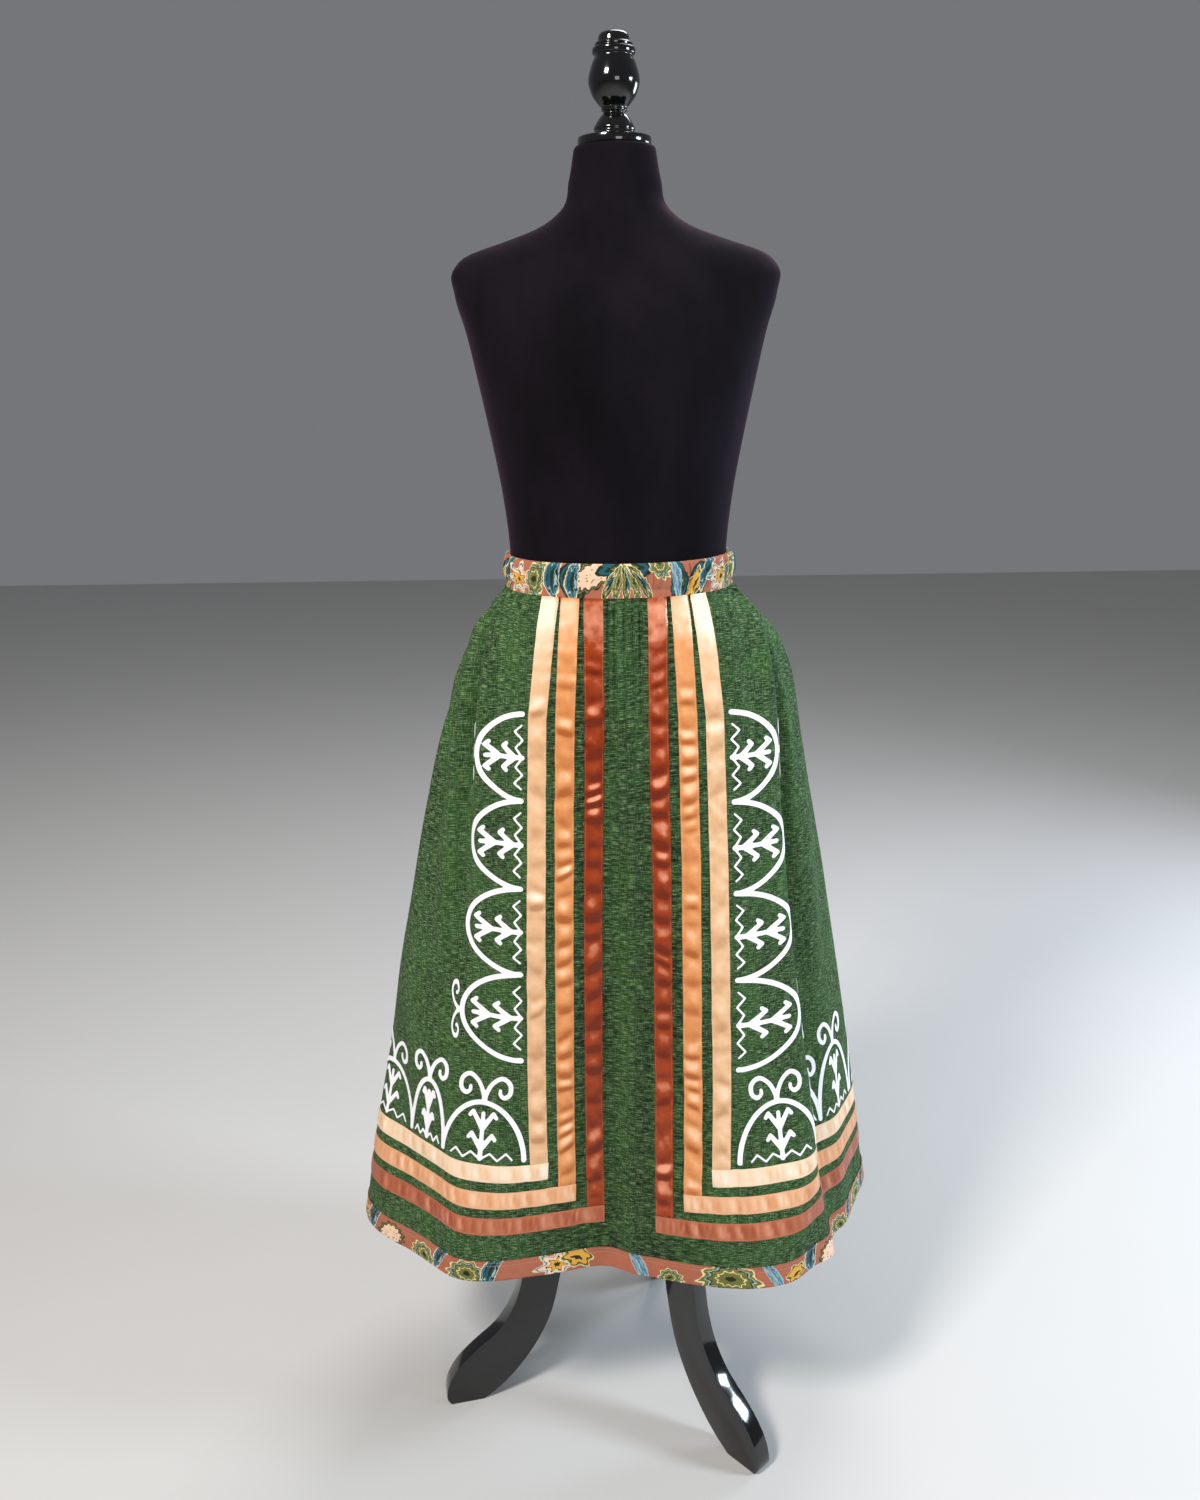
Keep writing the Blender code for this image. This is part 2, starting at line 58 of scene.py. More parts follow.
def addNode(material, kind, sockets=None, stops=None, **settings):
    # one node with its settings, colour stops, and each input given a value or a link
    tree = material.node_tree
    node = tree.nodes.new("ShaderNode" + kind)
    for name, value in settings.items():
        setattr(node, name, value)
    for name, value in (sockets or {}).items():
        if isinstance(value, bpy.types.NodeSocket):
            tree.links.new(value, node.inputs[name])
        else:
            node.inputs[name].default_value = value
    if stops:
        ramp = node.color_ramp
        while len(ramp.elements) < len(stops):
            ramp.elements.new(1.0)
        for element, (place, colour) in zip(ramp.elements, stops):
            element.position = place
            element.color = colour
    return node


def newMaterial(name, **surface):
    # an empty Principled material whose even values sit on the shader itself
    material = bpy.data.materials.new(name)
    material.use_nodes = True
    shader = material.node_tree.nodes["Principled BSDF"]
    for socket, value in surface.items():
        shader.inputs[socket.replace("_", " ")].default_value = value
    return material


def dress(material, **outputs):
    # links each output to the shader's socket of that name
    shader = material.node_tree.nodes["Principled BSDF"]
    for socket, output in outputs.items():
        material.node_tree.links.new(output, shader.inputs[socket.replace("_", " ")])
    return material


# the nodes that come up again and again, each by its output; colours may be hex
def clothMap(material):
    return addNode(material, "UVMap", uv_map="cloth").outputs[0]


def objectPlace(material):
    return addNode(material, "TexCoord").outputs["Object"]


def maths(material, operation, *values, **settings):
    return addNode(material, "Math", dict(enumerate(values)), operation=operation, **settings).outputs[0]


def stretch(material, vector, scale, **sockets):
    return addNode(material, "Mapping", {"Vector": vector, "Scale": scale, **sockets}).outputs[0]


def noise(material, vector, scale, detail, dimensions="3D", roughness=0.5):
    return addNode(material, "TexNoise", {"Vector": vector, "Scale": scale, "Detail": detail,
                                          "Roughness": roughness}, noise_dimensions=dimensions).outputs[0]


def spread(material, value, low, high, toLow=0.0, toHigh=1.0, **settings):
    return addNode(material, "MapRange", {"Value": value, 1: low, 2: high, 3: toLow, 4: toHigh},
                   **settings).outputs[0]


def ramp(material, value, *stops):
    return addNode(material, "ValToRGB", {"Fac": value},
                   [(place, toLinear(colour)) for place, colour in stops]).outputs[0]


def mix(material, share, low, high):
    low, high = (toLinear(colour) if isinstance(colour, str) else colour for colour in (low, high))
    return addNode(material, "Mix", {0: share, 6: low, 7: high}, data_type="RGBA").outputs[2]


def bump(material, height, strength, distance, **sockets):
    return addNode(material, "Bump", {"Height": height, "Strength": strength, "Distance": distance,
                                      **sockets}).outputs[0]


def dimmed(colour, share):
    return [v * share for v in colour[:3]] + [1.0]


def blend(low, high, share):
    return low * (1 - share) + high * share


def softNoise(u, v, seed, around=0):
    # smooth uneven values from -1 to 1, which close up after that many cells around
    lattice = np.random.default_rng(seed).uniform(-1, 1, (256, 256))
    i, j = np.floor(u).astype(int), np.floor(v).astype(int)
    fu, fv = u - i, v - j
    fu, fv = fu * fu * (3 - 2 * fu), fv * fv * (3 - 2 * fv)
    nextI = i + 1
    if around:
        i, nextI = i % around, nextI % around
    low, high = (blend(lattice[i % 256, k % 256], lattice[nextI % 256, k % 256], fu) for k in (j, j + 1))
    return blend(low, high, fv)


def lookUp(table, row, column):
    # a table's values between its rows and columns
    i, j = (np.minimum(at.astype(int), size - 2) for at, size in zip((row, column), table.shape))
    low, high = (blend(table[k, j], table[k, j + 1], column - j) for k in (i, i + 1))
    return blend(low, high, row - i)


def hump(value, middle, halfWidth):
    return np.exp(-((value - middle) / halfWidth) ** 2)


def smoothColumns(rows, height):
    # the columns of a table at one height, by a smooth curve through its rows
    heights = np.array([row[0] for row in rows])
    values = np.array([row[1:] for row in rows])
    spans = np.diff(heights)
    slopes = np.diff(values, axis=0) / spans[:, None]
    ahead, behind = spans[1:, None], spans[:-1, None]
    middle = (slopes[:-1] * ahead + slopes[1:] * behind) / (ahead + behind)
    tangents = np.vstack([slopes[:1], middle, slopes[-1:]])
    i = int(np.clip(np.searchsorted(heights, height) - 1, 0, len(spans) - 1))
    t = (height - heights[i]) / spans[i]
    return ((2 * t**3 - 3 * t**2 + 1) * values[i] + (t**3 - 2 * t**2 + t) * spans[i] * tangents[i]
            + (3 * t**2 - 2 * t**3) * values[i + 1] + (t**3 - t**2) * spans[i] * tangents[i + 1])


def roundedReach(bearing, left, right, front, back, square):
    across = np.abs(np.sin(bearing) / np.where(np.sin(bearing) > 0, right, left))
    along = np.abs(np.cos(bearing) / np.where(np.cos(bearing) > 0, front, back))
    return (across**square + along**square) ** (-1.0 / square)


# the hanging cloth: every garment piece is laid out on it by a length round the skirt,
# measured over the cloth from the front centre, a height, and a lift off the cloth
cloth = {
    "hem": 0.287,
    "seam": 1.120,
    "frontCentre": 0.0057,
    "rowStep": 0.0025,
    "columns": 1600,
    # height, left, right, front, back, square
    "sections": (
        (0.287, 0.333, 0.324, 0.170, 0.240, 2.40),
        (0.470, 0.310, 0.298, 0.148, 0.215, 2.35),
        (0.660, 0.276, 0.268, 0.137, 0.192, 2.30),
        (0.850, 0.231, 0.234, 0.128, 0.165, 2.25),
        (1.030, 0.180, 0.190, 0.119, 0.128, 2.20),
        (1.080, 0.158, 0.165, 0.114, 0.112, 2.15),
        (1.120, 0.129, 0.129, 0.106, 0.098, 2.10),
    ),
    # waist bearing, hem bearing, rise, half width, start
    "folds": (
        (0, -12.5, -0.023, 18.5, 1.06),
        (44, 46, 0.043, 24, 0.98),
        (69, 71, -0.048, 6, 1.10),
        (72, 72, 0.024, 5.5, 0.56),
        (80, 81, -0.023, 9.3, 1.10),
        (90, 98, 0.011, 7.5, 1.00),
        (125, 124, -0.016, 10, 1.05),
        (150, 148, 0.018, 11, 1.00),
        (172, 171, -0.016, 10, 1.05),
        (-162, -164, 0.018, 11, 1.00),
        (-138, -141, -0.016, 10, 1.05),
        (-116, -118, 0.012, 10, 1.00),
        (-97, -104, -0.016, 9, 1.05),
        (-78, -87, 0.011, 6.5, 1.08),
        (-62, -78, 0.009, 7.5, 1.10),
        (-34, -49.5, 0.025, 12.5, 0.98),
    ),
}


def hangingReach(bearing, height):
    reach = roundedReach(bearing, *smoothColumns(cloth["sections"], height))
    share = (cloth["seam"] - height) / (cloth["seam"] - cloth["hem"])
    for waistBearing, hemBearing, rise, halfWidth, start in cloth["folds"]:
        middle = math.radians(waistBearing + (hemBearing - waistBearing) * share)
        growth = max(0.0, (start - height) / (start - cloth["hem"]))
        away = (bearing - middle + math.pi) % (2 * math.pi) - math.pi
        reach = reach + rise * growth * np.exp(-(away / math.radians(halfWidth)) ** 2)
    return reach


def surveyCloth():
    # even steps round the cloth at many heights: places, level outward directions and girths
    bearing = np.linspace(-math.pi, math.pi, 1441)
    shares = np.linspace(-0.5, 0.5, cloth["columns"] + 1)
    heights = np.arange(cloth["hem"], cloth["seam"] + cloth["rowStep"] * 1.5, cloth["rowStep"])
    rows, girths = [], []
    for height in heights:
        reach = hangingReach(bearing, min(height, cloth["seam"]))
        points = np.stack([reach * np.sin(bearing), -reach * np.cos(bearing)], axis=1)
        length = np.concatenate([[0.0], np.cumsum(np.hypot(*np.diff(points, axis=0).T))])
        girth = length[-1]
        length = length - np.interp(0.0, bearing, length) - cloth["frontCentre"]
        tangent = np.gradient(points, axis=0)
        outward = np.stack([tangent[:, 1], -tangent[:, 0]], axis=1)
        outward /= np.linalg.norm(outward, axis=1)[:, None]
        wanted = (shares * girth - length[0]) % girth + length[0]
        rows.append([np.interp(wanted, length, column) for column in (*points.T, *outward.T)])
        girths.append(girth)
    return heights, np.array(girths), np.array(rows)


surveyHeights, surveyGirths, surveyRows = surveyCloth()
print("cloth surveyed, girth", round(surveyGirths[0], 3), "at the hem")


def girthAt(height):
    return np.interp(height, surveyHeights, surveyGirths)


# the upright ribbons: half of the centre panel and the gaps between them, by height
uprights = {
    "order": ("rust", "orange", "cream"),
    "width": 0.022,
    "heights": (0.287, 0.530, 0.777, 0.985, 1.120),
    "centreHalf": (0.0334, 0.0326, 0.0292, 0.0245, 0.0245),
    "rustToOrange": (0.0139, 0.0130, 0.0118, 0.0113, 0.0045),
    "orangeToCream": (0.0120, 0.0124, 0.0103, 0.0097, 0.0030),
}


def innerEdge(colour, height):
    # length from the front centre to the near edge of an upright ribbon
    reach = np.interp(height, uprights["heights"], uprights["centreHalf"])
    if colour in ("orange", "cream"):
        reach = reach + uprights["width"] + np.interp(height, uprights["heights"], uprights["rustToOrange"])
    if colour == "cream":
        reach = reach + uprights["width"] + np.interp(height, uprights["heights"], uprights["orangeToCream"])
    return reach


def freeEdge(height):
    return innerEdge("cream", height) + uprights["width"]


# what gathering, pressing and hanging add to the smooth cloth
relief = {
    "seed": 11,
    "gatherSpacing": (0.0080, 0.0135),
    "gatherHeight": 0.0050,
    "centreGathers": (-0.0190, -0.0112, -0.0015, 0.0080, 0.0168),
    "centreGatherDepth": 0.0048,
    "pinch": 0.0032,
    "unevenness": 0.0011,
    "wrinkle": 0.0012,
    # length at the top, top height, length at the bottom, bottom height, rise, half width
    "flutes": (
        (-0.006, 1.09, -0.010, 0.46, 0.0022, 0.0095),
        (0.014, 1.06, 0.016, 0.60, -0.0012, 0.0080),
        (-0.174, 1.05, -0.188, 0.72, 0.0045, 0.0085),
        (-0.190, 1.05, -0.205, 0.66, -0.0205, 0.0095),
        (-0.207, 1.05, -0.230, 0.66, 0.0095, 0.0110),
        (-0.232, 1.08, -0.258, 0.62, -0.0115, 0.0095),
        (-0.262, 1.05, -0.290, 0.70, 0.0050, 0.0110),
        (0.171, 1.07, 0.222, 0.50, 0.0105, 0.0130),
        (0.192, 1.07, 0.246, 0.52, -0.0150, 0.0085),
        (0.236, 1.05, 0.286, 0.60, 0.0050, 0.0110),
        (0.262, 1.05, 0.312, 0.60, -0.0040, 0.0100),
        (-0.146, 1.07, -0.158, 0.84, -0.0035, 0.0080),
        (-0.162, 1.07, -0.174, 0.86, 0.0030, 0.0080),
        (0.142, 1.07, 0.150, 0.88, -0.0030, 0.0080),
    ),
    # length round, height, rise, half width, half height
    "swells": (
        (-0.219, 0.46, 0.0068, 0.028, 0.16),
        (-0.322, 0.46, -0.0186, 0.054, 0.13),
        (0.222, 0.44, 0.0073, 0.026, 0.13),
        (0.246, 0.287, -0.0130, 0.036, 0.10),
    ),
    # the centre panel keeps a pressed crease down its middle
    "crease": 0.0045, "creaseHalf": 0.028, "creaseAt": 0.0035,
    "backFlutes": 14,
    "gatherSink": 0.42,  # as a share of their height
    "centreGatherHalf": 0.0026,
    "unevenCells": 26, "unevenTall": 0.15,
    "wrinkleWide": 0.024, "wrinkleTall": 0.0085,
    "floor": 0.0026, "floorSlope": 0.55,
    "seamHold": 0.65, "seamHoldReach": 0.003,
}


def makeGathers():
    # crests along the waist seam of each half: place as a share of the free cloth, half width,
    # rise, and how far down each one runs
    rng = np.random.default_rng(relief["seed"])
    free = surveyGirths[-1] / 2 - freeEdge(cloth["seam"])
    found = {}
    for side in (-1, 1):
        crests, place = [], 0.006
        while place < free - 0.004:
            step = rng.uniform(*relief["gatherSpacing"])
            longOne = rng.random() < 0.36
            run = rng.uniform(0.26, 0.54) if longOne else rng.uniform(0.05, 0.15)
            rise = relief["gatherHeight"] * rng.uniform(0.6, 1.15)
            crests.append((place / free, step * 0.36 / free, rise, run))
            place += step
        found[side] = crests
    return found


gathers = makeGathers()


def makeBackFlutes():
    rng = np.random.default_rng(relief["seed"] + 1)
    found = []
    for k in range(relief["backFlutes"]):
        share = 0.30 + 0.62 * (k + rng.uniform(0.2, 0.8)) / relief["backFlutes"]
        side = 1 if k % 2 else -1
        rise = rng.uniform(0.0035, 0.0060) * (1 if rng.random() < 0.5 else -1)
        found.append((side, share, rng.uniform(0.018, 0.032), rise, rng.uniform(0.55, 0.85)))
    return found


backFlutes = makeBackFlutes()


def reliefAt(along, height):
    seam = cloth["seam"]
    girth = girthAt(height)
    side = np.sign(along) + (along == 0)
    reach = np.abs(along)
    edge = freeEdge(height)
    share = (reach - edge) / (girth / 2 - edge)
    below = seam - height
    total = np.zeros_like(along)
    for half in (-1, 1):
        here = (side == half) & (share > -0.02)
        part, drop = share[here], below[here]
        lift = np.zeros_like(part)
        for place, halfWidth, rise, run in gathers[half]:
            fade = np.clip(1 - drop / run, 0, 1) ** 1.4
            lift += rise * fade * np.exp(-((part - place) / (halfWidth * (1 + 2.2 * drop / run))) ** 2)
        lift -= (relief["gatherHeight"] * relief["gatherSink"] * np.clip(1 - drop / 0.14, 0, 1) ** 1.7
                 * np.clip((part + 0.02) / 0.05, 0, 1))
        total[here] += lift
    for half, place, halfWidth, rise, low in backFlutes:
        fade = np.clip((seam - 0.02 - height) / 0.10, 0, 1) * np.clip((height - low) / (1.0 - low), 0, 1)
        total += (side == half) * rise * fade * hump(share, place, halfWidth)
    for topAlong, topHeight, lowAlong, lowHeight, rise, halfWidth in relief["flutes"]:
        t = (topHeight - height) / (topHeight - lowHeight)
        fade = np.clip(1 + 5 * t, 0, 1) * np.clip(1 - t, 0, 1) ** 0.8
        total += rise * fade * hump(along, topAlong + (lowAlong - topAlong) * t, halfWidth * (1 + 0.5 * t))
    for place, middle, rise, halfWidth, halfHeight in relief["swells"]:
        total += rise * hump(along, place, halfWidth) * hump(height, middle, halfHeight)
    roof = np.clip(1 - np.abs(along - relief["creaseAt"]) / relief["creaseHalf"], 0, 1)
    total += relief["crease"] * roof * np.clip((below - 0.03) / 0.12, 0, 1)
    nearWaist = np.clip(1 - below / 0.17, 0, 1) ** 1.5
    farther = np.clip(1 - below / 0.26, 0, 1) ** 1.4 * np.clip(0.35 + below / 0.035, 0, 1)
    centreHalf = innerEdge("rust", height)
    for place in relief["centreGathers"]:
        middle = place * centreHalf / uprights["centreHalf"][-1]
        total -= relief["centreGatherDepth"] * farther * hump(along, middle, relief["centreGatherHalf"])
    for near, far in (("rust", "orange"), ("orange", "cream")):
        nearSide, farSide = innerEdge(near, height) + uprights["width"], innerEdge(far, height)
        total -= relief["pinch"] * nearWaist * hump(reach, (nearSide + farSide) / 2, (farSide - nearSide) / 2)
    turn, cells = along / girth + 0.5, relief["unevenCells"]
    uneven = softNoise(turn * cells, height / relief["unevenTall"], 5, cells)
    total += relief["unevenness"] * np.clip(below / 0.1, 0, 1) * uneven
    # small crosswise wrinkles between the ribbons, always inwards
    inGap = np.zeros_like(along)
    for colour in uprights["order"]:
        near = innerEdge(colour, height)
        inGap = np.maximum(inGap, hump(reach, near + uprights["width"] / 2, uprights["width"] * 0.62))
    wrinkles = softNoise(along / relief["wrinkleWide"] + 40, height / relief["wrinkleTall"], 7) * 0.5 + 0.5
    total -= relief["wrinkle"] * wrinkles * np.clip(1.15 - inGap, 0, 1) * (reach < edge + 0.012)
    # just under the waist seam no fold dips as far as the form
    total = np.maximum(total, -(relief["floor"] + relief["floorSlope"] * np.clip(below, 0, 1)))
    # drawn in where the waistband seam holds it
    return total * (1 - relief["seamHold"] * np.clip(1 - below / relief["seamHoldReach"], 0, 1))


def onCloth(along, height, lift=0.0):
    along, height, lift = np.broadcast_arrays(*[np.asarray(v, dtype=float) for v in (along, height, lift)])
    shape = along.shape
    along, height, lift = along.ravel(), height.ravel(), lift.ravel()
    level = np.clip((height - cloth["hem"]) / cloth["rowStep"], 0, len(surveyHeights) - 1.001)
    column = ((along / girthAt(height) + 0.5) % 1.0) * cloth["columns"]
    x, y, outX, outY = (lookUp(surveyRows[:, c, :], level, column) for c in range(4))
    away = lift + reliefAt(along, height)
    points = np.stack([poleX + x + outX * away, poleY + y + outY * away, height], axis=1)
    return points.reshape(*shape, 3)


def wrapped(along, girth):
    # a length round the skirt, counted from the front centre to either side
    return (along + girth / 2) % girth - girth / 2


def meshFrom(shape, name):
    mesh = bpy.data.meshes.new(name)
    shape.to_mesh(mesh)
    shape.free()
    return mesh


def setPlaces(mesh, points):
    mesh.vertices.foreach_set("co", points.astype(np.float32).ravel())
    mesh.update()


def setMap(mesh, mapped):
    corners = np.empty(len(mesh.loops), dtype=np.int32)
    mesh.loops.foreach_get("vertex_index", corners)
    mesh.uv_layers.new(name="cloth").data.foreach_set("uv", mapped[corners].astype(np.float32).ravel())
    mesh.update()


def applyPlace(mesh, place):
    # moves a flat unit grid to its place and lays its map: u to the right, v upwards, in metres;
    # it also stores how far the cloth leans back to the light, or what place gives for it, from which the
    # satin paints light and shade into its colour
    flat = np.array([vert.co[:2] for vert in mesh.vertices]) + 0.5
    points, mapped, *paintedLightLean = place(flat[:, 0], flat[:, 1])
    setPlaces(mesh, points)
    if not paintedLightLean:
        normals = np.empty(len(mesh.vertices) * 3)
        mesh.vertices.foreach_get("normal", normals)
        paintedLightLean = [normals[2::3]]
    mesh.attributes.new("paintedLightLean", "FLOAT", "POINT").data.foreach_set("value", paintedLightLean[0].astype(np.float32))
    setMap(mesh, mapped)


def shadeFrom(piece, sharpFrom):
    # smooth, but for the edges that turn by more than that many degrees
    piece.data.shade_smooth()
    piece.data.set_sharp_from_angle(angle=math.radians(sharpFrom))
    return piece


def settle(piece, sharpFrom, wall=0.0):
    # gives a sheet its thickness inwards, and makes the modifiers' result the piece's own mesh
    if wall:
        shell = piece.modifiers.new("wall", "SOLIDIFY")
        shell.thickness = wall
        shell.offset = -1
        shell.use_even_offset = False
    bpy.context.view_layer.update()
    shaped = piece.evaluated_get(bpy.context.evaluated_depsgraph_get())
    mesh = bpy.data.meshes.new_from_object(shaped)
    piece.modifiers.clear()
    piece.data = mesh
    return shadeFrom(piece, sharpFrom)


def newPiece(name, mesh, material):
    piece = bpy.data.objects.new(name, mesh)
    bpy.context.scene.collection.objects.link(piece)
    mesh.materials.append(material)
    mesh.shade_smooth()
    return piece


def bindPiece(piece, slotName, *nodes):
    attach(piece, "root")
    if nodes:
        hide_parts(*nodes)
    return piece


def sheetPiece(name, material, columns, rows, place, wall=0.0):
    # a sheet laid by its place function
    grid = bmesh.new()
    bmesh.ops.create_grid(grid, x_segments=columns, y_segments=rows, size=0.5)
    mesh = meshFrom(grid, name)
    applyPlace(mesh, place)
    return settle(newPiece(name, mesh, material), 60, wall)


def closeRing(piece):
    # joins the two ends of a sheet that goes all the way round
    ring = bmesh.new()
    ring.from_mesh(piece.data)
    bmesh.ops.remove_doubles(ring, verts=ring.verts, dist=1e-6)
    ring.to_mesh(piece.data)
    ring.free()
    return shadeFrom(piece, 60)


# materials, each from what the real one is
greenCloth = {
    "deep": "#061a0a", "middle": "#274e20", "slub": "#98b382", "shade": "#04110a",
    "threadWidth": 0.0008,  # drawn coarser than the real thread, so that it shows
    "slubLength": 0.0095,
    "drawnReach": 0.150,  # how far from the front centre the sewing draws the cloth
    "drawnDepth": 0.0060,
}


def makeGreenLinen():
    # cross-dyed slubby linen: a dark weft and a light warp give a broken heather of fine dashes
    material = newMaterial("crossDyedSlubbyLinen", Roughness=0.86, IOR=1.5, Sheen_Weight=0.03,
                           Sheen_Roughness=0.5, Specular_IOR_Level=0.10)
    fine, long = 1 / greenCloth["threadWidth"], 1 / greenCloth["slubLength"]
    uv = clothMap(material)
    weftDash, warpDash = (noise(material, stretch(material, uv, scale), 1.0, 2.0, "2D", 0.65)
                          for scale in ((long, fine, 1), (fine, long * 0.8, 1)))
    weft = ramp(material, weftDash, (0.51, "#000000"), (0.68, "#ffffff"))
    warp = ramp(material, warpDash, (0.53, "#000000"), (0.72, "#ffffff"))
    both = maths(material, "MULTIPLY_ADD", warp, 0.55, weft)
    mottle = noise(material, stretch(material, uv, (14, 42, 1)), 1.0, 1.5, "2D")
    streak = noise(material, stretch(material, uv, (34, 4, 1)), 1.0, 1.0, "2D")
    uneven = spread(material, maths(material, "ADD", mottle, streak), 0.42, 1.58)
    ground = mix(material, uneven, greenCloth["deep"], greenCloth["middle"])
    colour = mix(material, maths(material, "MULTIPLY", both, 0.5), ground, greenCloth["slub"])
    # the sewing draws the cloth into short crosswise wrinkles beside the upright ribbons
    reach = maths(material, "ABSOLUTE", addNode(material, "SeparateXYZ", {0: uv}).outputs[0])
    beside = spread(material, reach, greenCloth["drawnReach"], 0.05, interpolation_type="SMOOTHSTEP")
    pull = maths(material, "MULTIPLY", beside, spread(material, reach, 0.004, 0.036, 0.35, 1.0))
    wrinkle = noise(material, stretch(material, uv, (55, 210, 1), Rotation=(0, 0, 0.3)), 1.0, 1.0, "2D")
    drawn = maths(material, "MULTIPLY", wrinkle, pull)
    # painted shade: their valleys are darkened in the colour
    shade = maths(material, "MULTIPLY", spread(material, wrinkle, 0.34, 0.56, 0.60, 0.0), pull)
    woven = bump(material, both, 0.5, 0.0005)
    return dress(material, Base_Color=mix(material, shade, colour, greenCloth["shade"]),
                 Normal=bump(material, drawn, 1.0, greenCloth["drawnDepth"], Normal=woven))


# painted shade, own colour and painted highlight (dark, middle and light), the tint of its shine, roughness,
# and how far the lean runs from the painted shade to the painted highlight
ribbonColoursWithPaintedLight = {
    "rust": ("#6a1a05", "#9a3d1c", "#e69c7c", "#ffb89c", 0.23, (-0.06, 0.34)),
    "orange": ("#b2602a", "#de965e", "#f8d2b0", "#ffd2b0", 0.24, (-0.12, 0.42)),
    "cream": ("#c18c60", "#e4b88e", "#f8e2ca", "#ffe6cc", 0.27, (-0.10, 0.38)),
    # the same satin run crosswise takes the light along its floats, and is painted paler with that light
    "rustRound": ("#7c2c12", "#a85a3c", "#cf8c70", "#ffd0bc", 0.36, (-0.75, 0.75)),
    "orangeRound": ("#bf7242", "#dc9c70", "#f2ccaa", "#ffe2cc", 0.34, (-0.95, 0.75)),
    "creamRound": ("#d2a278", "#ecc8a4", "#f6e2cc", "#fff0e0", 0.36, (-0.95, 0.65)),
}


def makeSatin(kind):
    # polyester satin ribbon: the long floats along it send the light one way; its base colour is painted
    # from dark shade to a bright highlight as a pucker leans away from the light or back to it; light that
    # comes back from between the floats has taken up some of their dye
    dark, middle, light, tint, rough, ends = ribbonColoursWithPaintedLight[kind]
    material = newMaterial(kind + "PolyesterSatin", Roughness=rough, IOR=1.6, Anisotropic=0.45,
                           Specular_IOR_Level=0.5, Specular_Tint=toLinear(tint))
    uv = clothMap(material)
    floats = noise(material, stretch(material, uv, (1800, 30, 1)), 1.0, 2.0, "2D")
    clouds = noise(material, uv, 90.0, 2.0, "2D")
    cloudShare = 0.14
    paintedLightLean = addNode(material, "Attribute", attribute_name="paintedLightLean").outputs["Fac"]
    low, high = (end + cloudShare / 2 for end in ends)
    # painted light and shade: the lean, with random clouds, sets the colour from painted shade to painted
    # highlight
    lean = spread(material, maths(material, "MULTIPLY_ADD", clouds, cloudShare, paintedLightLean), low, high)
    paintedLightTone = ramp(material, lean, (0.0, dark), (0.5, middle), (0.92, light))
    grain = bump(material, floats, 0.2, 0.0002)
    return dress(material, Base_Color=paintedLightTone, Normal=bump(material, clouds, 0.3, 0.0012, Normal=grain))


# the printed cotton: flowers, leaves and stems on a salmon ground
printColours = {
    "ground": "#a56149", "olive": "#686a2e", "cream": "#dccc98", "teal": "#17525c", "blue": "#4c7498",
    "gold": "#d69f3e", "pink": "#e4c2a4", "dark": "#1c2618", "pale": "#90aba6", "seed": "#6d3423",
}
printRings = {
    # colour from the middle outwards, each up to its share of the reach
    "leaf": (("dark", 0.16), ("olive", 0.40), ("cream", 0.46), ("olive", 0.64), ("dark", 0.70),
             ("pale", 0.76), ("olive", 0.90), ("cream", 1.0)),
    "tealLeaf": (("dark", 0.34), ("teal", 0.66), ("pale", 0.73), ("dark", 0.80), ("blue", 0.90),
                 ("cream", 1.0)),
    "flower": (("dark", 0.16), ("gold", 0.40), ("dark", 0.47), ("pink", 0.76), ("blue", 0.88),
               ("cream", 1.0)),
    "gold": (("dark", 0.25), ("gold", 0.72), ("dark", 0.79), ("olive", 0.90), ("cream", 1.0)),
    "stem": (("pale", 0.25), ("blue", 0.75), ("pale", 1.0)),
    "net": (("pink", 0.74), ("dark", 0.82), ("olive", 0.92), ("dark", 1.0)),
    "plume": (("dark", 0.22), ("teal", 0.48), ("cream", 0.56), ("olive", 0.76), ("dark", 0.88),
              ("cream", 1.0)),
    "shade": (("olive", 0.34), ("dark", 0.62), ("teal", 0.86), ("dark", 1.0)),
}
# ripples round the edge (how many, how deep), bend, and how strong the stripes along are
printEdges = {
    "leaf": (11, 0.10, 9.0, 0.0), "tealLeaf": (5, 0.05, 14.0, 0.35), "flower": (7, 0.28, 0.0, 0.0),
    "gold": (6, 0.16, 5.0, 0.25), "stem": (2, 0.05, 7.0, 0.6), "net": (13, 0.09, 6.0, 0.0),
    "plume": (2, 0.04, 16.0, 0.3), "shade": (3, 0.10, 8.0, 0.4),
}


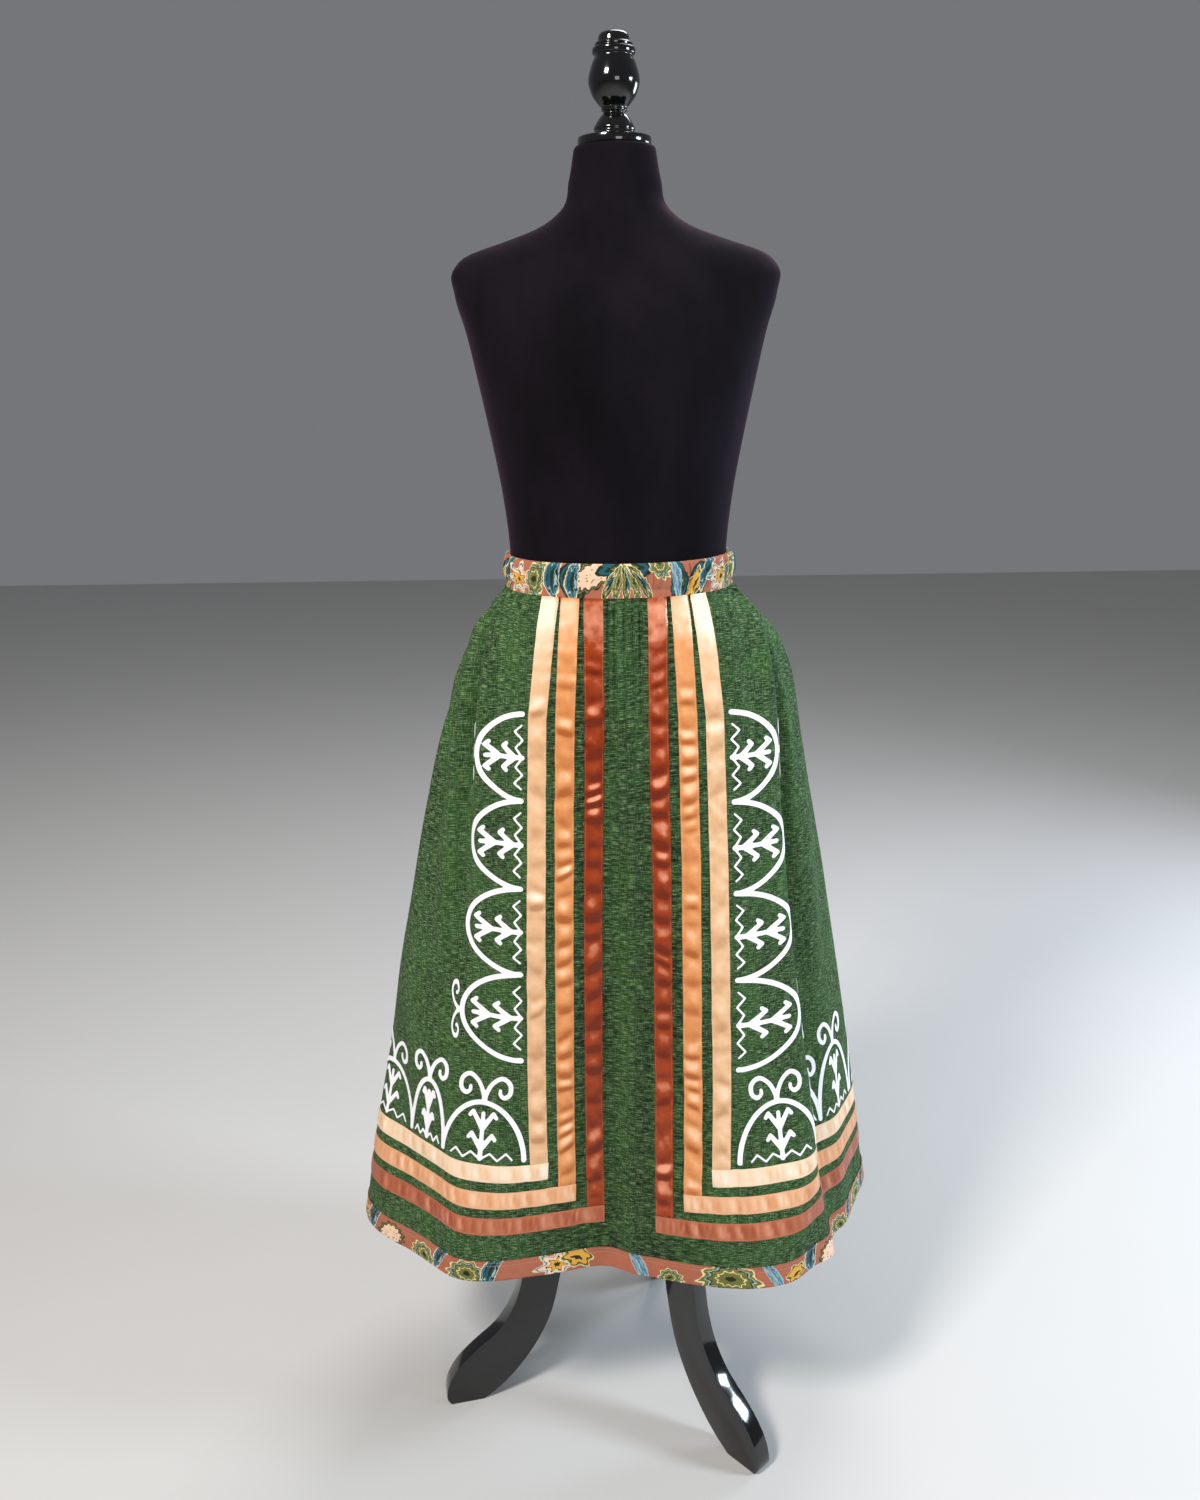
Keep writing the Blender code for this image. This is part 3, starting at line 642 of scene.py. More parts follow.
def makePrintedCotton(name, motifs, repeat):
    # plain-weave quilting cotton with a pigment print: flat colour, matt, a very fine weave
    material = newMaterial(name, Roughness=0.82, IOR=1.5, Specular_IOR_Level=0.25, Sheen_Weight=0.08)
    uv = clothMap(material)
    # the print's outlines tremble a little, as if drawn by hand
    tremble = addNode(material, "TexNoise", {"Vector": uv, "Scale": 260.0, "Detail": 1.0}).outputs[1]
    shift = addNode(material, "VectorMath", {0: tremble, 1: (0.5,) * 3}, operation="SUBTRACT").outputs[0]
    hand = addNode(material, "VectorMath", {0: shift, 1: (0.0035,) * 3, 2: uv},
                   operation="MULTIPLY_ADD").outputs[0]
    apart = addNode(material, "SeparateXYZ", {0: hand}).outputs
    place = addNode(material, "CombineXYZ", {0: maths(material, "WRAP", apart[0], repeat, 0.0),
                                             1: apart[1]}).outputs[0]
    base = toLinear(printColours["ground"])
    colour = mix(material, noise(material, uv, 90.0, 2.0), dimmed(base, 0.88), dimmed(base, 1.12))
    for kind, along, up, turn, length, width in motifs:
        ripples, depth, bend, stripes = printEdges[kind]
        local = addNode(material, "Mapping", {"Vector": place, "Location": (along, up, 0),
                                              "Rotation": (0, 0, math.radians(turn)),
                                              "Scale": (length / 2, width / 2, 1)},
                        vector_type="TEXTURE").outputs[0]
        sides = addNode(material, "SeparateXYZ", {0: local}).outputs
        bent = maths(material, "MULTIPLY_ADD", maths(material, "POWER", sides[0], 2.0), bend * 0.05, sides[1])
        flat = addNode(material, "CombineXYZ", {0: sides[0], 1: bent}).outputs[0]
        reach = addNode(material, "VectorMath", {0: flat}, operation="LENGTH").outputs[1]
        angle = maths(material, "ARCTAN2", bent, sides[0])
        wave = maths(material, "COSINE", maths(material, "MULTIPLY", angle, float(ripples)))
        field = maths(material, "MULTIPLY", reach, maths(material, "MULTIPLY_ADD", wave, depth, 1.0))
        if stripes:
            tooth = maths(material, "SINE", maths(material, "MULTIPLY", bent, 9.0))
            inside = maths(material, "SUBTRACT", 1.0, field, use_clamp=True)
            push = maths(material, "MULTIPLY", tooth, inside)
            field = maths(material, "MULTIPLY_ADD", push, stripes, field)
        stops, start = [], 0.0
        for ringColour, end in printRings[kind]:
            stops.append((start, toLinear(printColours[ringColour])))
            start = end / 2
        ring = addNode(material, "ValToRGB", {"Fac": maths(material, "MULTIPLY", field, 0.5)},
                       stops + [(0.5, (0, 0, 0, 0))])
        ring.color_ramp.interpolation = "CONSTANT"
        painted = ring.outputs[0]
        if kind == "net":
            dots = addNode(material, "TexVoronoi", {"Vector": local, "Scale": 6.5}).outputs[0]
            painted = mix(material, maths(material, "LESS_THAN", dots, 0.27), painted, printColours["seed"])
        colour = mix(material, ring.outputs[1], colour, painted)
    return dress(material, Base_Color=colour,
                 Normal=bump(material, noise(material, uv, 1600.0, 1.0), 0.2, 0.0002))


# kind, place along, place up, turn in degrees, length, width
hemPrint = (
    ("leaf", 0.024, 0.006, -25, 0.046, 0.026), ("tealLeaf", 0.050, 0.018, 60, 0.040, 0.016),
    ("leaf", 0.094, 0.010, -12, 0.052, 0.034), ("tealLeaf", 0.122, 0.016, 68, 0.050, 0.020),
    ("flower", 0.206, 0.013, 10, 0.046, 0.034), ("gold", 0.232, 0.019, -25, 0.042, 0.026),
    ("stem", 0.314, 0.015, -62, 0.050, 0.015), ("leaf", 0.352, 0.005, 20, 0.034, 0.022),
    ("leaf", 0.428, 0.013, -6, 0.078, 0.042), ("stem", 0.482, 0.014, -60, 0.050, 0.013),
    ("gold", 0.512, 0.010, 20, 0.030, 0.020), ("tealLeaf", 0.540, 0.018, 70, 0.042, 0.024),
    ("net", 0.580, 0.008, 14, 0.050, 0.030),
)
waistPrint = (
    ("leaf", 0.012, 0.018, 70, 0.046, 0.024), ("shade", 0.060, 0.018, 86, 0.050, 0.034),
    ("tealLeaf", 0.034, 0.022, 82, 0.050, 0.020), ("net", 0.083, 0.026, 30, 0.058, 0.030),
    ("tealLeaf", 0.058, 0.018, 84, 0.046, 0.016), ("shade", 0.118, 0.036, 4, 0.060, 0.026),
    ("plume", 0.102, 0.018, 60, 0.052, 0.010), ("leaf", 0.110, 0.018, 74, 0.052, 0.010),
    ("plume", 0.119, 0.018, -88, 0.052, 0.009), ("leaf", 0.127, 0.018, -72, 0.052, 0.010),
    ("plume", 0.136, 0.017, -58, 0.056, 0.010), ("leaf", 0.155, 0.038, 88, 0.036, 0.026),
    ("shade", 0.178, 0.018, -84, 0.050, 0.020), ("stem", 0.175, 0.019, -80, 0.052, 0.009),
    ("shade", 0.204, 0.016, 70, 0.046, 0.026), ("gold", 0.198, 0.012, 66, 0.040, 0.016),
    ("tealLeaf", 0.214, 0.025, 60, 0.046, 0.014), ("flower", 0.238, 0.016, 0, 0.036, 0.030),
)


def makeWhiteApplique():
    # smooth white felt-backed applique, fused flat: almost even, with a faint cool tooth
    material = newMaterial("smoothWhiteApplique", Roughness=0.62, IOR=1.5)
    tooth = noise(material, clothMap(material), 700.0, 2.0)
    return dress(material, Base_Color=ramp(material, tooth, (0.3, "#eae9ef"), (0.7, "#fbfafc")),
                 Normal=bump(material, tooth, 0.15, 0.0002))


def makeVelvet():
    # short cotton velvet: almost black head on, with a faint plum bloom where it turns away
    material = newMaterial("shortPileVelvet", Roughness=0.95, IOR=1.45, Specular_IOR_Level=0.08,
                           Sheen_Weight=0.45, Sheen_Roughness=0.32, Sheen_Tint=toLinear("#7a5a74"))
    place = objectPlace(material)
    nap = noise(material, stretch(material, place, (14, 14, 5)), 1.0, 4.0)
    return dress(material, Base_Color=ramp(material, nap, (0.3, "#0b090c"), (0.75, "#17131a")),
                 Normal=bump(material, noise(material, place, 1500.0, 2.0), 0.5, 0.0006))


def makeLacquer():
    # hand-rubbed black lacquer on wood: deep black, a clear coat, a faint orange-peel in the gloss
    material = newMaterial("blackLacquerOnWood", Roughness=0.09, IOR=1.5, Coat_Weight=0.35,
                           Coat_Roughness=0.05)
    place = objectPlace(material)
    cloudy = noise(material, place, 22.0, 3.0)
    return dress(material, Base_Color=ramp(material, cloudy, (0.3, "#050506"), (0.8, "#0e0d0e")),
                 Roughness=spread(material, cloudy, 0.0, 1.0, 0.06, 0.16),
                 Normal=bump(material, noise(material, place, 130.0, 1.0), 0.06, 0.001))


def makeEnamel():
    # black stoving enamel on a steel tube: satin gloss with fine rubbed lines along it
    material = newMaterial("blackEnamelledSteel", Roughness=0.35, IOR=1.5)
    lines = noise(material, stretch(material, objectPlace(material), (600, 600, 6)), 1.0, 2.0)
    return dress(material, Base_Color=ramp(material, lines, (0.35, "#0a0a0b"), (0.8, "#1a1a1b")),
                 Roughness=spread(material, lines, 0.0, 1.0, 0.28, 0.42))


def makeThread(name, colour):
    # twisted polyester sewing thread: a slight sheen and a darker line where the plies cross
    material = newMaterial(name, Roughness=0.5, IOR=1.5)
    twist = noise(material, objectPlace(material), 2500.0, 1.0)
    return dress(material, Base_Color=mix(material, twist, dimmed(toLinear(colour), 0.7), colour))


greenLinen = makeGreenLinen()
satins = {kind: makeSatin(kind) for kind in ribbonColoursWithPaintedLight}
hemCotton = makePrintedCotton("printedHemCotton", hemPrint, 0.62)
waistCotton = makePrintedCotton("printedWaistCotton", waistPrint, 0.25)
whiteApplique = makeWhiteApplique()
velvet = makeVelvet()
lacquer = makeLacquer()
enamel = makeEnamel()
print("materials made")


# the dress form: a padded velvet body with a neck plate and finial, on a pole with a tripod
formShape = {
    "sections": (
        # height, half width, front, back, square
        (0.872, 0.150, 0.096, 0.110, 2.2), (0.884, 0.158, 0.103, 0.119, 2.2),
        (0.950, 0.165, 0.108, 0.126, 2.2), (1.030, 0.155, 0.107, 0.115, 2.15),
        (1.085, 0.136, 0.1035, 0.101, 2.1), (1.120, 0.1250, 0.1020, 0.0940, 2.1),
        (1.157, 0.1250, 0.1015, 0.0925, 2.1), (1.220, 0.131, 0.106, 0.097, 2.15),
        (1.290, 0.143, 0.119, 0.104, 2.2), (1.345, 0.154, 0.127, 0.109, 2.2),
        (1.400, 0.166, 0.117, 0.110, 2.2), (1.440, 0.177, 0.096, 0.105, 2.2),
        (1.465, 0.178, 0.080, 0.095, 2.1), (1.481, 0.160, 0.069, 0.084, 2.0),
        (1.492, 0.126, 0.062, 0.074, 2.0), (1.506, 0.086, 0.058, 0.066, 2.0),
        (1.523, 0.0605, 0.055, 0.058, 2.0), (1.555, 0.0495, 0.050, 0.050, 2.0),
        (1.587, 0.0435, 0.046, 0.044, 2.0),
    ),
    "columns": 120, "rows": 170, "ends": 0.05,
}


def formReach(bearing, height):
    halfWidth, front, back, square = smoothColumns(formShape["sections"], height)
    return roundedReach(bearing, halfWidth, halfWidth, front, back, square)


def makeForm():
    low, high, ends = formShape["sections"][0][0], formShape["sections"][-1][0], formShape["ends"]
    levels = low + np.linspace(0, 1, 241) * (high - low)
    turns = np.linspace(-math.pi, math.pi, 361)
    table = np.array([formReach(turns, level) for level in levels])

    def place(u, v):
        # the rows at each end run in to the middle, and close the form
        t = np.clip((v - ends) / (1 - 2 * ends), 0, 1)
        close = np.sqrt(np.clip(np.minimum(v, 1 - v) / ends, 0, 1))
        bearing = (u * 2 - 1) * math.pi
        reach = lookUp(table, t * (len(levels) - 1), u * (len(turns) - 1)) * close
        height = low + t * (high - low)
        return (np.stack([poleX + reach * np.sin(bearing), poleY - reach * np.cos(bearing), height], axis=1),
                np.stack([u * 1.2, height], axis=1))

    piece = sheetPiece("velvetForm", velvet, formShape["columns"], formShape["rows"], place)
    bindPiece(closeRing(piece), "black_velvet", "form")


stand = {
    "neckPlate": ((0.0, 1.5873), (0.0370, 1.5873), (0.0392, 1.5885), (0.0396, 1.5900), (0.0396, 1.5943),
                  (0.0390, 1.5962), (0.0370, 1.5970), (0.0, 1.5970)),
    "finial": (
        (0.0000, 1.5973), (0.0215, 1.5973), (0.0230, 1.5982), (0.0232, 1.6000), (0.0218, 1.6025),
        (0.0222, 1.6050), (0.0205, 1.6085), (0.0160, 1.6155), (0.0118, 1.6200), (0.0138, 1.6222),
        (0.0141, 1.6255), (0.0176, 1.6290), (0.0235, 1.6370), (0.0272, 1.6480), (0.0268, 1.6560),
        (0.0235, 1.6670), (0.0202, 1.6742), (0.0225, 1.6763), (0.0226, 1.6812), (0.0198, 1.6832),
        (0.0199, 1.6860), (0.0172, 1.6876), (0.0160, 1.6930), (0.0132, 1.6962), (0.0070, 1.6972),
        (0.0000, 1.6972),
    ),
    "hub": (
        (0.0000, 0.1780), (0.0060, 0.1786), (0.0108, 0.1825), (0.0150, 0.1920), (0.0130, 0.2060),
        (0.0200, 0.2160), (0.0300, 0.2320), (0.0338, 0.2440), (0.0340, 0.2520), (0.0340, 0.3400),
        (0.0332, 0.3480), (0.0260, 0.3580), (0.0200, 0.3655), (0.0180, 0.3660), (0.0000, 0.3660),
    ),
    "poleRadius": 0.0125,
    "poleRim": 0.0005,
    "legs": {"leg_front_right": 43.0, "leg_left": -77.0, "leg_back": 163.0},
    "legWidth": 0.022,
    "legRound": 0.0055,
    "legSquare": 0.045,  # up to that reach, where it meets the hub, its edges stay square
    # reach from the pole, height
    "legOuter": (
        (0.0345, 0.330), (0.062, 0.329), (0.098, 0.308), (0.125, 0.268), (0.139, 0.220), (0.147, 0.175),
        (0.160, 0.138), (0.181, 0.107), (0.210, 0.083), (0.234, 0.060), (0.249, 0.036), (0.254, 0.012),
        (0.248, 0.0),
    ),
    "legInner": (
        (0.203, 0.0), (0.178, 0.018), (0.152, 0.045), (0.127, 0.080), (0.106, 0.125), (0.093, 0.180),
        (0.087, 0.215), (0.075, 0.245), (0.055, 0.262), (0.0345, 0.262),
    ),
}


def smoothRun(points, steps):
    # a smooth run through points, with that many steps to a span
    points = [np.array(point, dtype=float) for point in points]
    run = []
    for i in range(len(points) - 1):
        a, b = points[i], points[i + 1]
        before, after = points[max(i - 1, 0)], points[min(i + 2, len(points) - 1)]
        for k in range(steps):
            t = k / steps
            run.append(a + 0.5 * t * (b - before + t * (2 * before - 5 * a + 4 * b - after
                                                        + t * (3 * (a - b) + after - before))))
    return run + [points[-1]]


def turnedPiece(name, profile, material, steps, turns, sharpFrom):
    lathe = bmesh.new()
    corners = [lathe.verts.new((poleX + max(radius, 0.0), poleY, height))
               for radius, height in smoothRun(profile, steps)]
    run = [lathe.edges.new(pair) for pair in zip(corners, corners[1:])]
    bmesh.ops.spin(lathe, geom=corners + run, cent=(poleX, poleY, 0), axis=(0, 0, 1), angle=2 * math.pi,
                   steps=turns, use_merge=True)
    bmesh.ops.remove_doubles(lathe, verts=lathe.verts, dist=1e-6)
    bmesh.ops.recalc_face_normals(lathe, faces=lathe.faces)
    return shadeFrom(newPiece(name, meshFrom(lathe, name), material), sharpFrom)


def makeLeg(node, name):
    # a cabriole leg sawn from board: the side outline, thickened, with its long edges rounded
    bearing = math.radians(stand["legs"][node])
    forward = Vector((math.sin(bearing), -math.cos(bearing), 0))
    across = Vector((math.cos(bearing), math.sin(bearing), 0))
    outline = smoothRun(stand["legOuter"], 4) + smoothRun(stand["legInner"], 4)
    board = bmesh.new()
    middle = Vector((poleX, poleY, 0))
    corners = [board.verts.new(middle + forward * reach - across * stand["legWidth"] / 2
                               + Vector((0, 0, max(height, 0.0)))) for reach, height in outline]
    side = board.faces.new(corners)
    made = bmesh.ops.extrude_face_region(board, geom=[side])["geom"]
    bmesh.ops.translate(board, verts=[item for item in made if isinstance(item, bmesh.types.BMVert)],
                        vec=across * stand["legWidth"])
    bmesh.ops.recalc_face_normals(board, faces=board.faces)
    sides = [face for face in board.faces if len(face.verts) > 4]
    rims = [edge for face in sides for edge in face.edges
            if min((vert.co - middle).to_2d().length for vert in edge.verts) > stand["legSquare"]
            and max(vert.co.z for vert in edge.verts) > 0.002]
    bmesh.ops.bevel(board, geom=rims, offset=stand["legRound"], offset_type="OFFSET", affect="EDGES",
                    segments=4, profile=0.5, material=-1, clamp_overlap=True)
    bmesh.ops.triangulate(board, faces=[face for face in board.faces if len(face.verts) > 4])
    bindPiece(shadeFrom(newPiece(name, meshFrom(board, name), lacquer), 40), "black_lacquer", node)


def makeStand():
    low, high, radius, rim = poleLow.z, poleHigh.z, stand["poleRadius"], stand["poleRim"]
    tube = ((0.0, low), (radius - rim, low), (radius, low + rim), (radius, high - rim), (radius - rim, high),
            (0.0, high))
    for name, profile, material, steps, turns, sharpFrom, slotName, node in (
            ("neckPlateTurned", stand["neckPlate"], lacquer, 1, 72, 25, "black_lacquer", "neck_plate"),
            ("finialTurned", stand["finial"], lacquer, 5, 64, 50, "black_lacquer", "finial"),
            ("hubTurned", stand["hub"], lacquer, 4, 64, 50, "black_lacquer", "hub"),
            ("poleTube", tube, enamel, 1, 48, 25, "black_pole", "pole")):
        bindPiece(turnedPiece(name, profile, material, steps, turns, sharpFrom), slotName, node)
    for node, name in zip(stand["legs"], ("frontRightLeg", "leftLeg", "backLeg")):
        makeLeg(node, name)


makeForm()
makeStand()
print("form and stand made")


# the green skirt, in a front and a back panel that meet at the side seams
panels = {
    "wall": 0.0007, "seamShare": 14 / 32, "topTuck": 0.0012, "hemRise": 0.0008, "seamPinch": 0.0012,
    "pinchHalf": 0.012, "frontColumns": 236, "frontRows": 204, "backColumns": 150, "backRows": 140,
}


def sideSeam(height):
    edge = freeEdge(height)
    return edge + (girthAt(height) / 2 - edge) * panels["seamShare"]


def panelHeight(v):
    foot = cloth["hem"] + panels["hemRise"]
    return foot + v * (cloth["seam"] + panels["topTuck"] - foot)


def frontCloth(u, v):
    height = panelHeight(v)
    # closer columns under and between the ribbons than at the sides
    t = u * 2 - 1
    along = sideSeam(height) * (0.62 * t + 0.38 * t**3)
    lift = -panels["seamPinch"] * hump(np.abs(t), 1.0, panels["pinchHalf"])
    return onCloth(along, height, lift), np.stack([along, height], axis=1)


def backCloth(u, v):
    height = panelHeight(v)
    seam, girth = sideSeam(height), girthAt(height)
    along = seam + u * (girth - 2 * seam)
    lift = -panels["seamPinch"] * (hump(u, 0.0, panels["pinchHalf"]) + hump(u, 1.0, panels["pinchHalf"]))
    return onCloth(wrapped(along, girth), height, lift), np.stack([along, height], axis=1)


def makePanels():
    front = sheetPiece("greenFrontPanel", greenLinen, panels["frontColumns"], panels["frontRows"], frontCloth,
                       panels["wall"])
    back = sheetPiece("greenBackPanel", greenLinen, panels["backColumns"], panels["backRows"], backCloth,
                      panels["wall"])
    bindPiece(front, "green_linen", "skirt_front")
    bindPiece(back, "green_linen", "skirt_back")


# satin ribbons, sewn down along both edges so that they puff and pucker in between
ribbons = {
    "wall": 0.00035, "underLift": 0.0001, "edge": 0.0014, "columns": 10, "rowStep": 0.0025,
    "rise": {"rust": 0.061, "orange": 0.0945, "cream": 0.129},
    "puff": {"rust": 0.0034, "orange": 0.0030, "cream": 0.0028},
    "puckerSpacing": {"rust": (0.013, 0.040), "orange": (0.014, 0.040), "cream": (0.020, 0.056)},
    "wander": 0.0005, "wanderTall": 0.021, "crinkle": 0.00045,
    "overlap": 0.004, "cornerRaise": 0.0007, "topTuck": 0.0004, "slope": 0.007, "roundStep": 0.0032,
    # above flatFrom an upright ribbon keeps only that share of its puff; it flattens over the
    # reach below
    "flatFrom": 1.04, "flatReach": 0.06, "flatShare": 0.22,
    # of the ribbons that go round: pucker height and spacing, fine and wide
    "roundFine": (0.0003, (0.005, 0.015)), "roundWide": (0.0012, (0.012, 0.045)),
}


def puckers(run, seed, spacing, length, sag=1.0, power=1.2):
    # a row of soft humps with narrow valleys between them, from 0 to 1; a sag below 1 brings
    # the crests nearer the start
    rng = np.random.default_rng(seed)
    valleys, heights = [-0.02], []
    while valleys[-1] < length + 0.03:
        valleys.append(valleys[-1] + rng.uniform(*spacing))
        heights.append(rng.uniform(0.12, 1.0))
    valleys, heights = np.array(valleys), np.array(heights)
    i = np.clip(np.searchsorted(valleys, run) - 1, 0, len(heights) - 1)
    t = (run - valleys[i]) / (valleys[i + 1] - valleys[i])
    return heights[i] * np.sin(math.pi * np.clip(t, 0, 1) ** sag) ** power


def sewnDown(across, power):
    # from 0 at a ribbon's sewn edges to 1 along its middle
    return np.clip(1 - ((across - 0.5) / (0.5 - ribbons["edge"] / uprights["width"])) ** power, 0, 1)


def cornerLift(run, length):
    # where a round ribbon's end crosses the foot of an upright one, it lies on top
    fromEnd = np.minimum(run, length - run)
    return ribbons["cornerRaise"] * np.clip((uprights["width"] + 0.004 - fromEnd) / 0.003, 0, 1)


def ribbonWander(colour, sign, height):
    # the sewn edges are never quite straight
    seed = 61 + 2 * uprights["order"].index(colour) + (sign > 0)
    return ribbons["wander"] * softNoise(height / ribbons["wanderTall"], 0 * height + 0.5, seed)


def makeUpright(colour, side, seed):
    sign = 1 if side == "right" else -1
    foot = cloth["hem"] + ribbons["rise"][colour] + uprights["width"] - ribbons["overlap"]
    top = cloth["seam"] + ribbons["topTuck"]

    def place(u, v):
        height = foot + v * (top - foot)
        across = u if sign > 0 else 1 - u
        along = (sign * (innerEdge(colour, height) + across * uprights["width"])
                 + ribbonWander(colour, sign, height))
        pinned = sewnDown(u, 2) ** 0.6
        slope = ribbons["slope"] * softNoise(height / 0.05, 0 * height + 3.5, seed + 50)
        flat = ribbons["flatShare"]
        quiet = flat + (1 - flat) * np.clip((ribbons["flatFrom"] - height) / ribbons["flatReach"], 0, 1)
        quiet = quiet * np.clip((height - foot - 0.003) / 0.012, 0, 1)
        wave = puckers(height - foot + slope * (u - 0.5) * 2, seed, ribbons["puckerSpacing"][colour],
                       top - foot, 0.78, 1.7)
        fine = 0.5 + 0.5 * softNoise(u * 1.6 + 7, height / 0.0105 + 2 * u, seed + 70)
        lift = (ribbons["underLift"] + ribbons["wall"]
                + (ribbons["puff"][colour] * wave + ribbons["crinkle"] * fine) * pinned * quiet)
        return onCloth(along, height, lift), np.stack([u * uprights["width"], height], axis=1)

    name = colour + "Ribbon" + side.capitalize()
    rows = int((top - foot) / ribbons["rowStep"])
    piece = sheetPiece(name, satins[colour], ribbons["columns"], rows, place, ribbons["wall"])
    bindPiece(piece, colour + "_satin", "ribbon_" + colour + "_" + side)


def makeRound(colour, seed):
    low = cloth["hem"] + ribbons["rise"][colour]
    middle = low + uprights["width"] / 2
    start, girth = innerEdge(colour, middle), girthAt(middle)
    length = girth - 2 * start

    def place(u, v):
        height = low + v * uprights["width"]
        share = (start + u * length) / girth
        along = wrapped(share * girthAt(height), girthAt(height))
        run = u * length
        pinned = sewnDown(v, 4)
        step = 0.0008

        def crease(at):
            (fine, close), (wide, apart) = ribbons["roundFine"], ribbons["roundWide"]
            return (fine * puckers(at + 0.003 * (v - 0.5), seed, close, length)
                    + wide * puckers(at + 0.005 * (v - 0.5), seed + 9, apart, length))

        lift = ribbons["underLift"] + ribbons["wall"] + pinned * crease(run) + cornerLift(run, length)
        points = onCloth(along, height, lift)
        way = onCloth(along + step, height, lift) - points
        # painted light and shade: lighter on the slopes of its creases that turn to the light, and where it
        # faces front or back, as its floats run level; darker at the sides
        paintedLightLean = (4 * pinned * (crease(run - step) - crease(run + step)) / (2 * step)
               + 0.7 * (np.abs(way[:, 0]) / np.hypot(way[:, 0], way[:, 1]) - 0.85))
        return points, np.stack([v * uprights["width"], run], axis=1), paintedLightLean

    columns = int(length / ribbons["roundStep"])
    piece = sheetPiece(colour + "RibbonRound", satins[colour + "Round"], columns, 8, place, ribbons["wall"])
    bindPiece(piece, colour + "_satin", "ribbon_" + colour + "_round")


# the hem band, folded over the cloth's lower edge, and the elastic waistband
bands = {
    "hemWidth": 0.027, "hemOut": 0.0013, "hemIn": 0.0014, "hemStitches": (0.0022, 0.0062),
    "waistHeight": 0.037, "waistProud": 0.0010, "waistSwell": 0.0015, "waistStitch": 0.0085,
    "waistPucker": 0.0036, "formGap": 0.0005,
    "puckerSpacing": (0.0060, 0.0130), "wideSpacing": (0.012, 0.030),
    "hemWall": 0.00045, "hemFold": 0.06,  # the fold's share of each face
    "stitchDip": 0.0007, "stitchHalf": 0.0011,
}


def makeHemBand():
    low, width, fold = cloth["hem"], bands["hemWidth"], bands["hemFold"]

    def place(u, v):
        # v runs down the inner face, round the fold and up the outer face
        path = (v - 0.5) * 2
        outer = path > 0
        rise = np.clip(np.abs(path) - fold, 0, 1) / (1 - fold)
        height = low + 0.0003 + rise * width
        turn = np.sin(np.clip(np.abs(path) / fold, 0, 1) * math.pi / 2)
        along = (u - 0.5) * girthAt(height)
        out = (bands["hemOut"] + 0.0004 * softNoise(u * 90, 0 * u + 0.5, 31, 90)
               + 0.0005 * softNoise(u * 60, rise * 1.5, 33, 60))
        for line in bands["hemStitches"]:
            out = out - bands["stitchDip"] * hump(height, low + width - line, bands["stitchHalf"])
        return (onCloth(along, height, np.where(outer, out, -bands["hemIn"]) * turn),
                np.stack([u * surveyGirths[0], np.where(outer, rise, -rise) * width], axis=1))

    piece = closeRing(sheetPiece("printedHemBand", hemCotton, 600, 22, place, bands["hemWall"]))
    bindPiece(piece, "printed_cotton", "hem_band")


def makeWaistband():
    low, tall, stitch = cloth["seam"], bands["waistHeight"], bands["waistStitch"]
    girth = surveyGirths[-1]
    turns = np.linspace(-math.pi, math.pi, 721)
    formLow, formHigh = formReach(turns, low), formReach(turns, low + tall)

    def place(u, v):
        # v runs up the outer face, over the top fold, down the inner face and out under the lower edge
        along = (u - 0.5) * girth
        up = np.where(v < 0.5, np.clip(v / 0.46, 0, 1), np.clip((0.96 - v) / 0.46, 0, 1))
        inward = np.where(v < 0.5, np.clip((v - 0.46) / 0.04, 0, 1), np.clip((1 - v) / 0.04, 0, 1))
        rise = up * tall
        above = np.clip((rise - stitch) / (tall - stitch), 0, 1)
        body = np.sin(above * math.pi) ** 0.6
        fine = puckers(u * girth, 71, bands["puckerSpacing"], girth)
        wide = puckers(u * girth + 0.004 * up, 72, bands["wideSpacing"], girth)
        proud = (bands["waistProud"] + bands["waistSwell"] * body + 0.0006 * wide * body
                 + bands["waistPucker"] * (fine - 0.3) * (0.25 + 0.75 * np.clip(above * 4, 0, 1))
                 * (0.55 + 0.45 * body) - bands["stitchDip"] * hump(rise, stitch, bands["stitchHalf"]))
        seam = onCloth(along, low)
        outX, outY = seam[:, 0] - poleX, seam[:, 1] - poleY
        bearing = np.arctan2(outX, -outY)
        inner = blend(np.interp(bearing, turns, formLow), np.interp(bearing, turns, formHigh), up)
        reach = blend(np.hypot(outX, outY) + proud, inner + bands["formGap"], inward)
        crown = 0.0006 * np.sin(inward * math.pi) * (v < 0.5)
        return (np.stack([poleX + np.sin(bearing) * reach, poleY - np.cos(bearing) * reach,
                          low + rise + crown], axis=1),
                np.stack([u * girth, np.where(v < 0.48, rise, -rise)], axis=1))

    piece = closeRing(sheetPiece("gatheredWaistband", waistCotton, 460, 44, place))
    bindPiece(piece, "printed_cotton", "waistband")


makeWaistband()
makePanels()
print("panels and waistband made")
for number, colour in enumerate(uprights["order"]):
    for side in ("left", "right"):
        makeUpright(colour, side, 100 + number * 10 + (side == "right"))
for number, colour in enumerate(uprights["order"]):
    makeRound(colour, 200 + number * 20)
makeHemBand()
print("ribbons and hem band made")


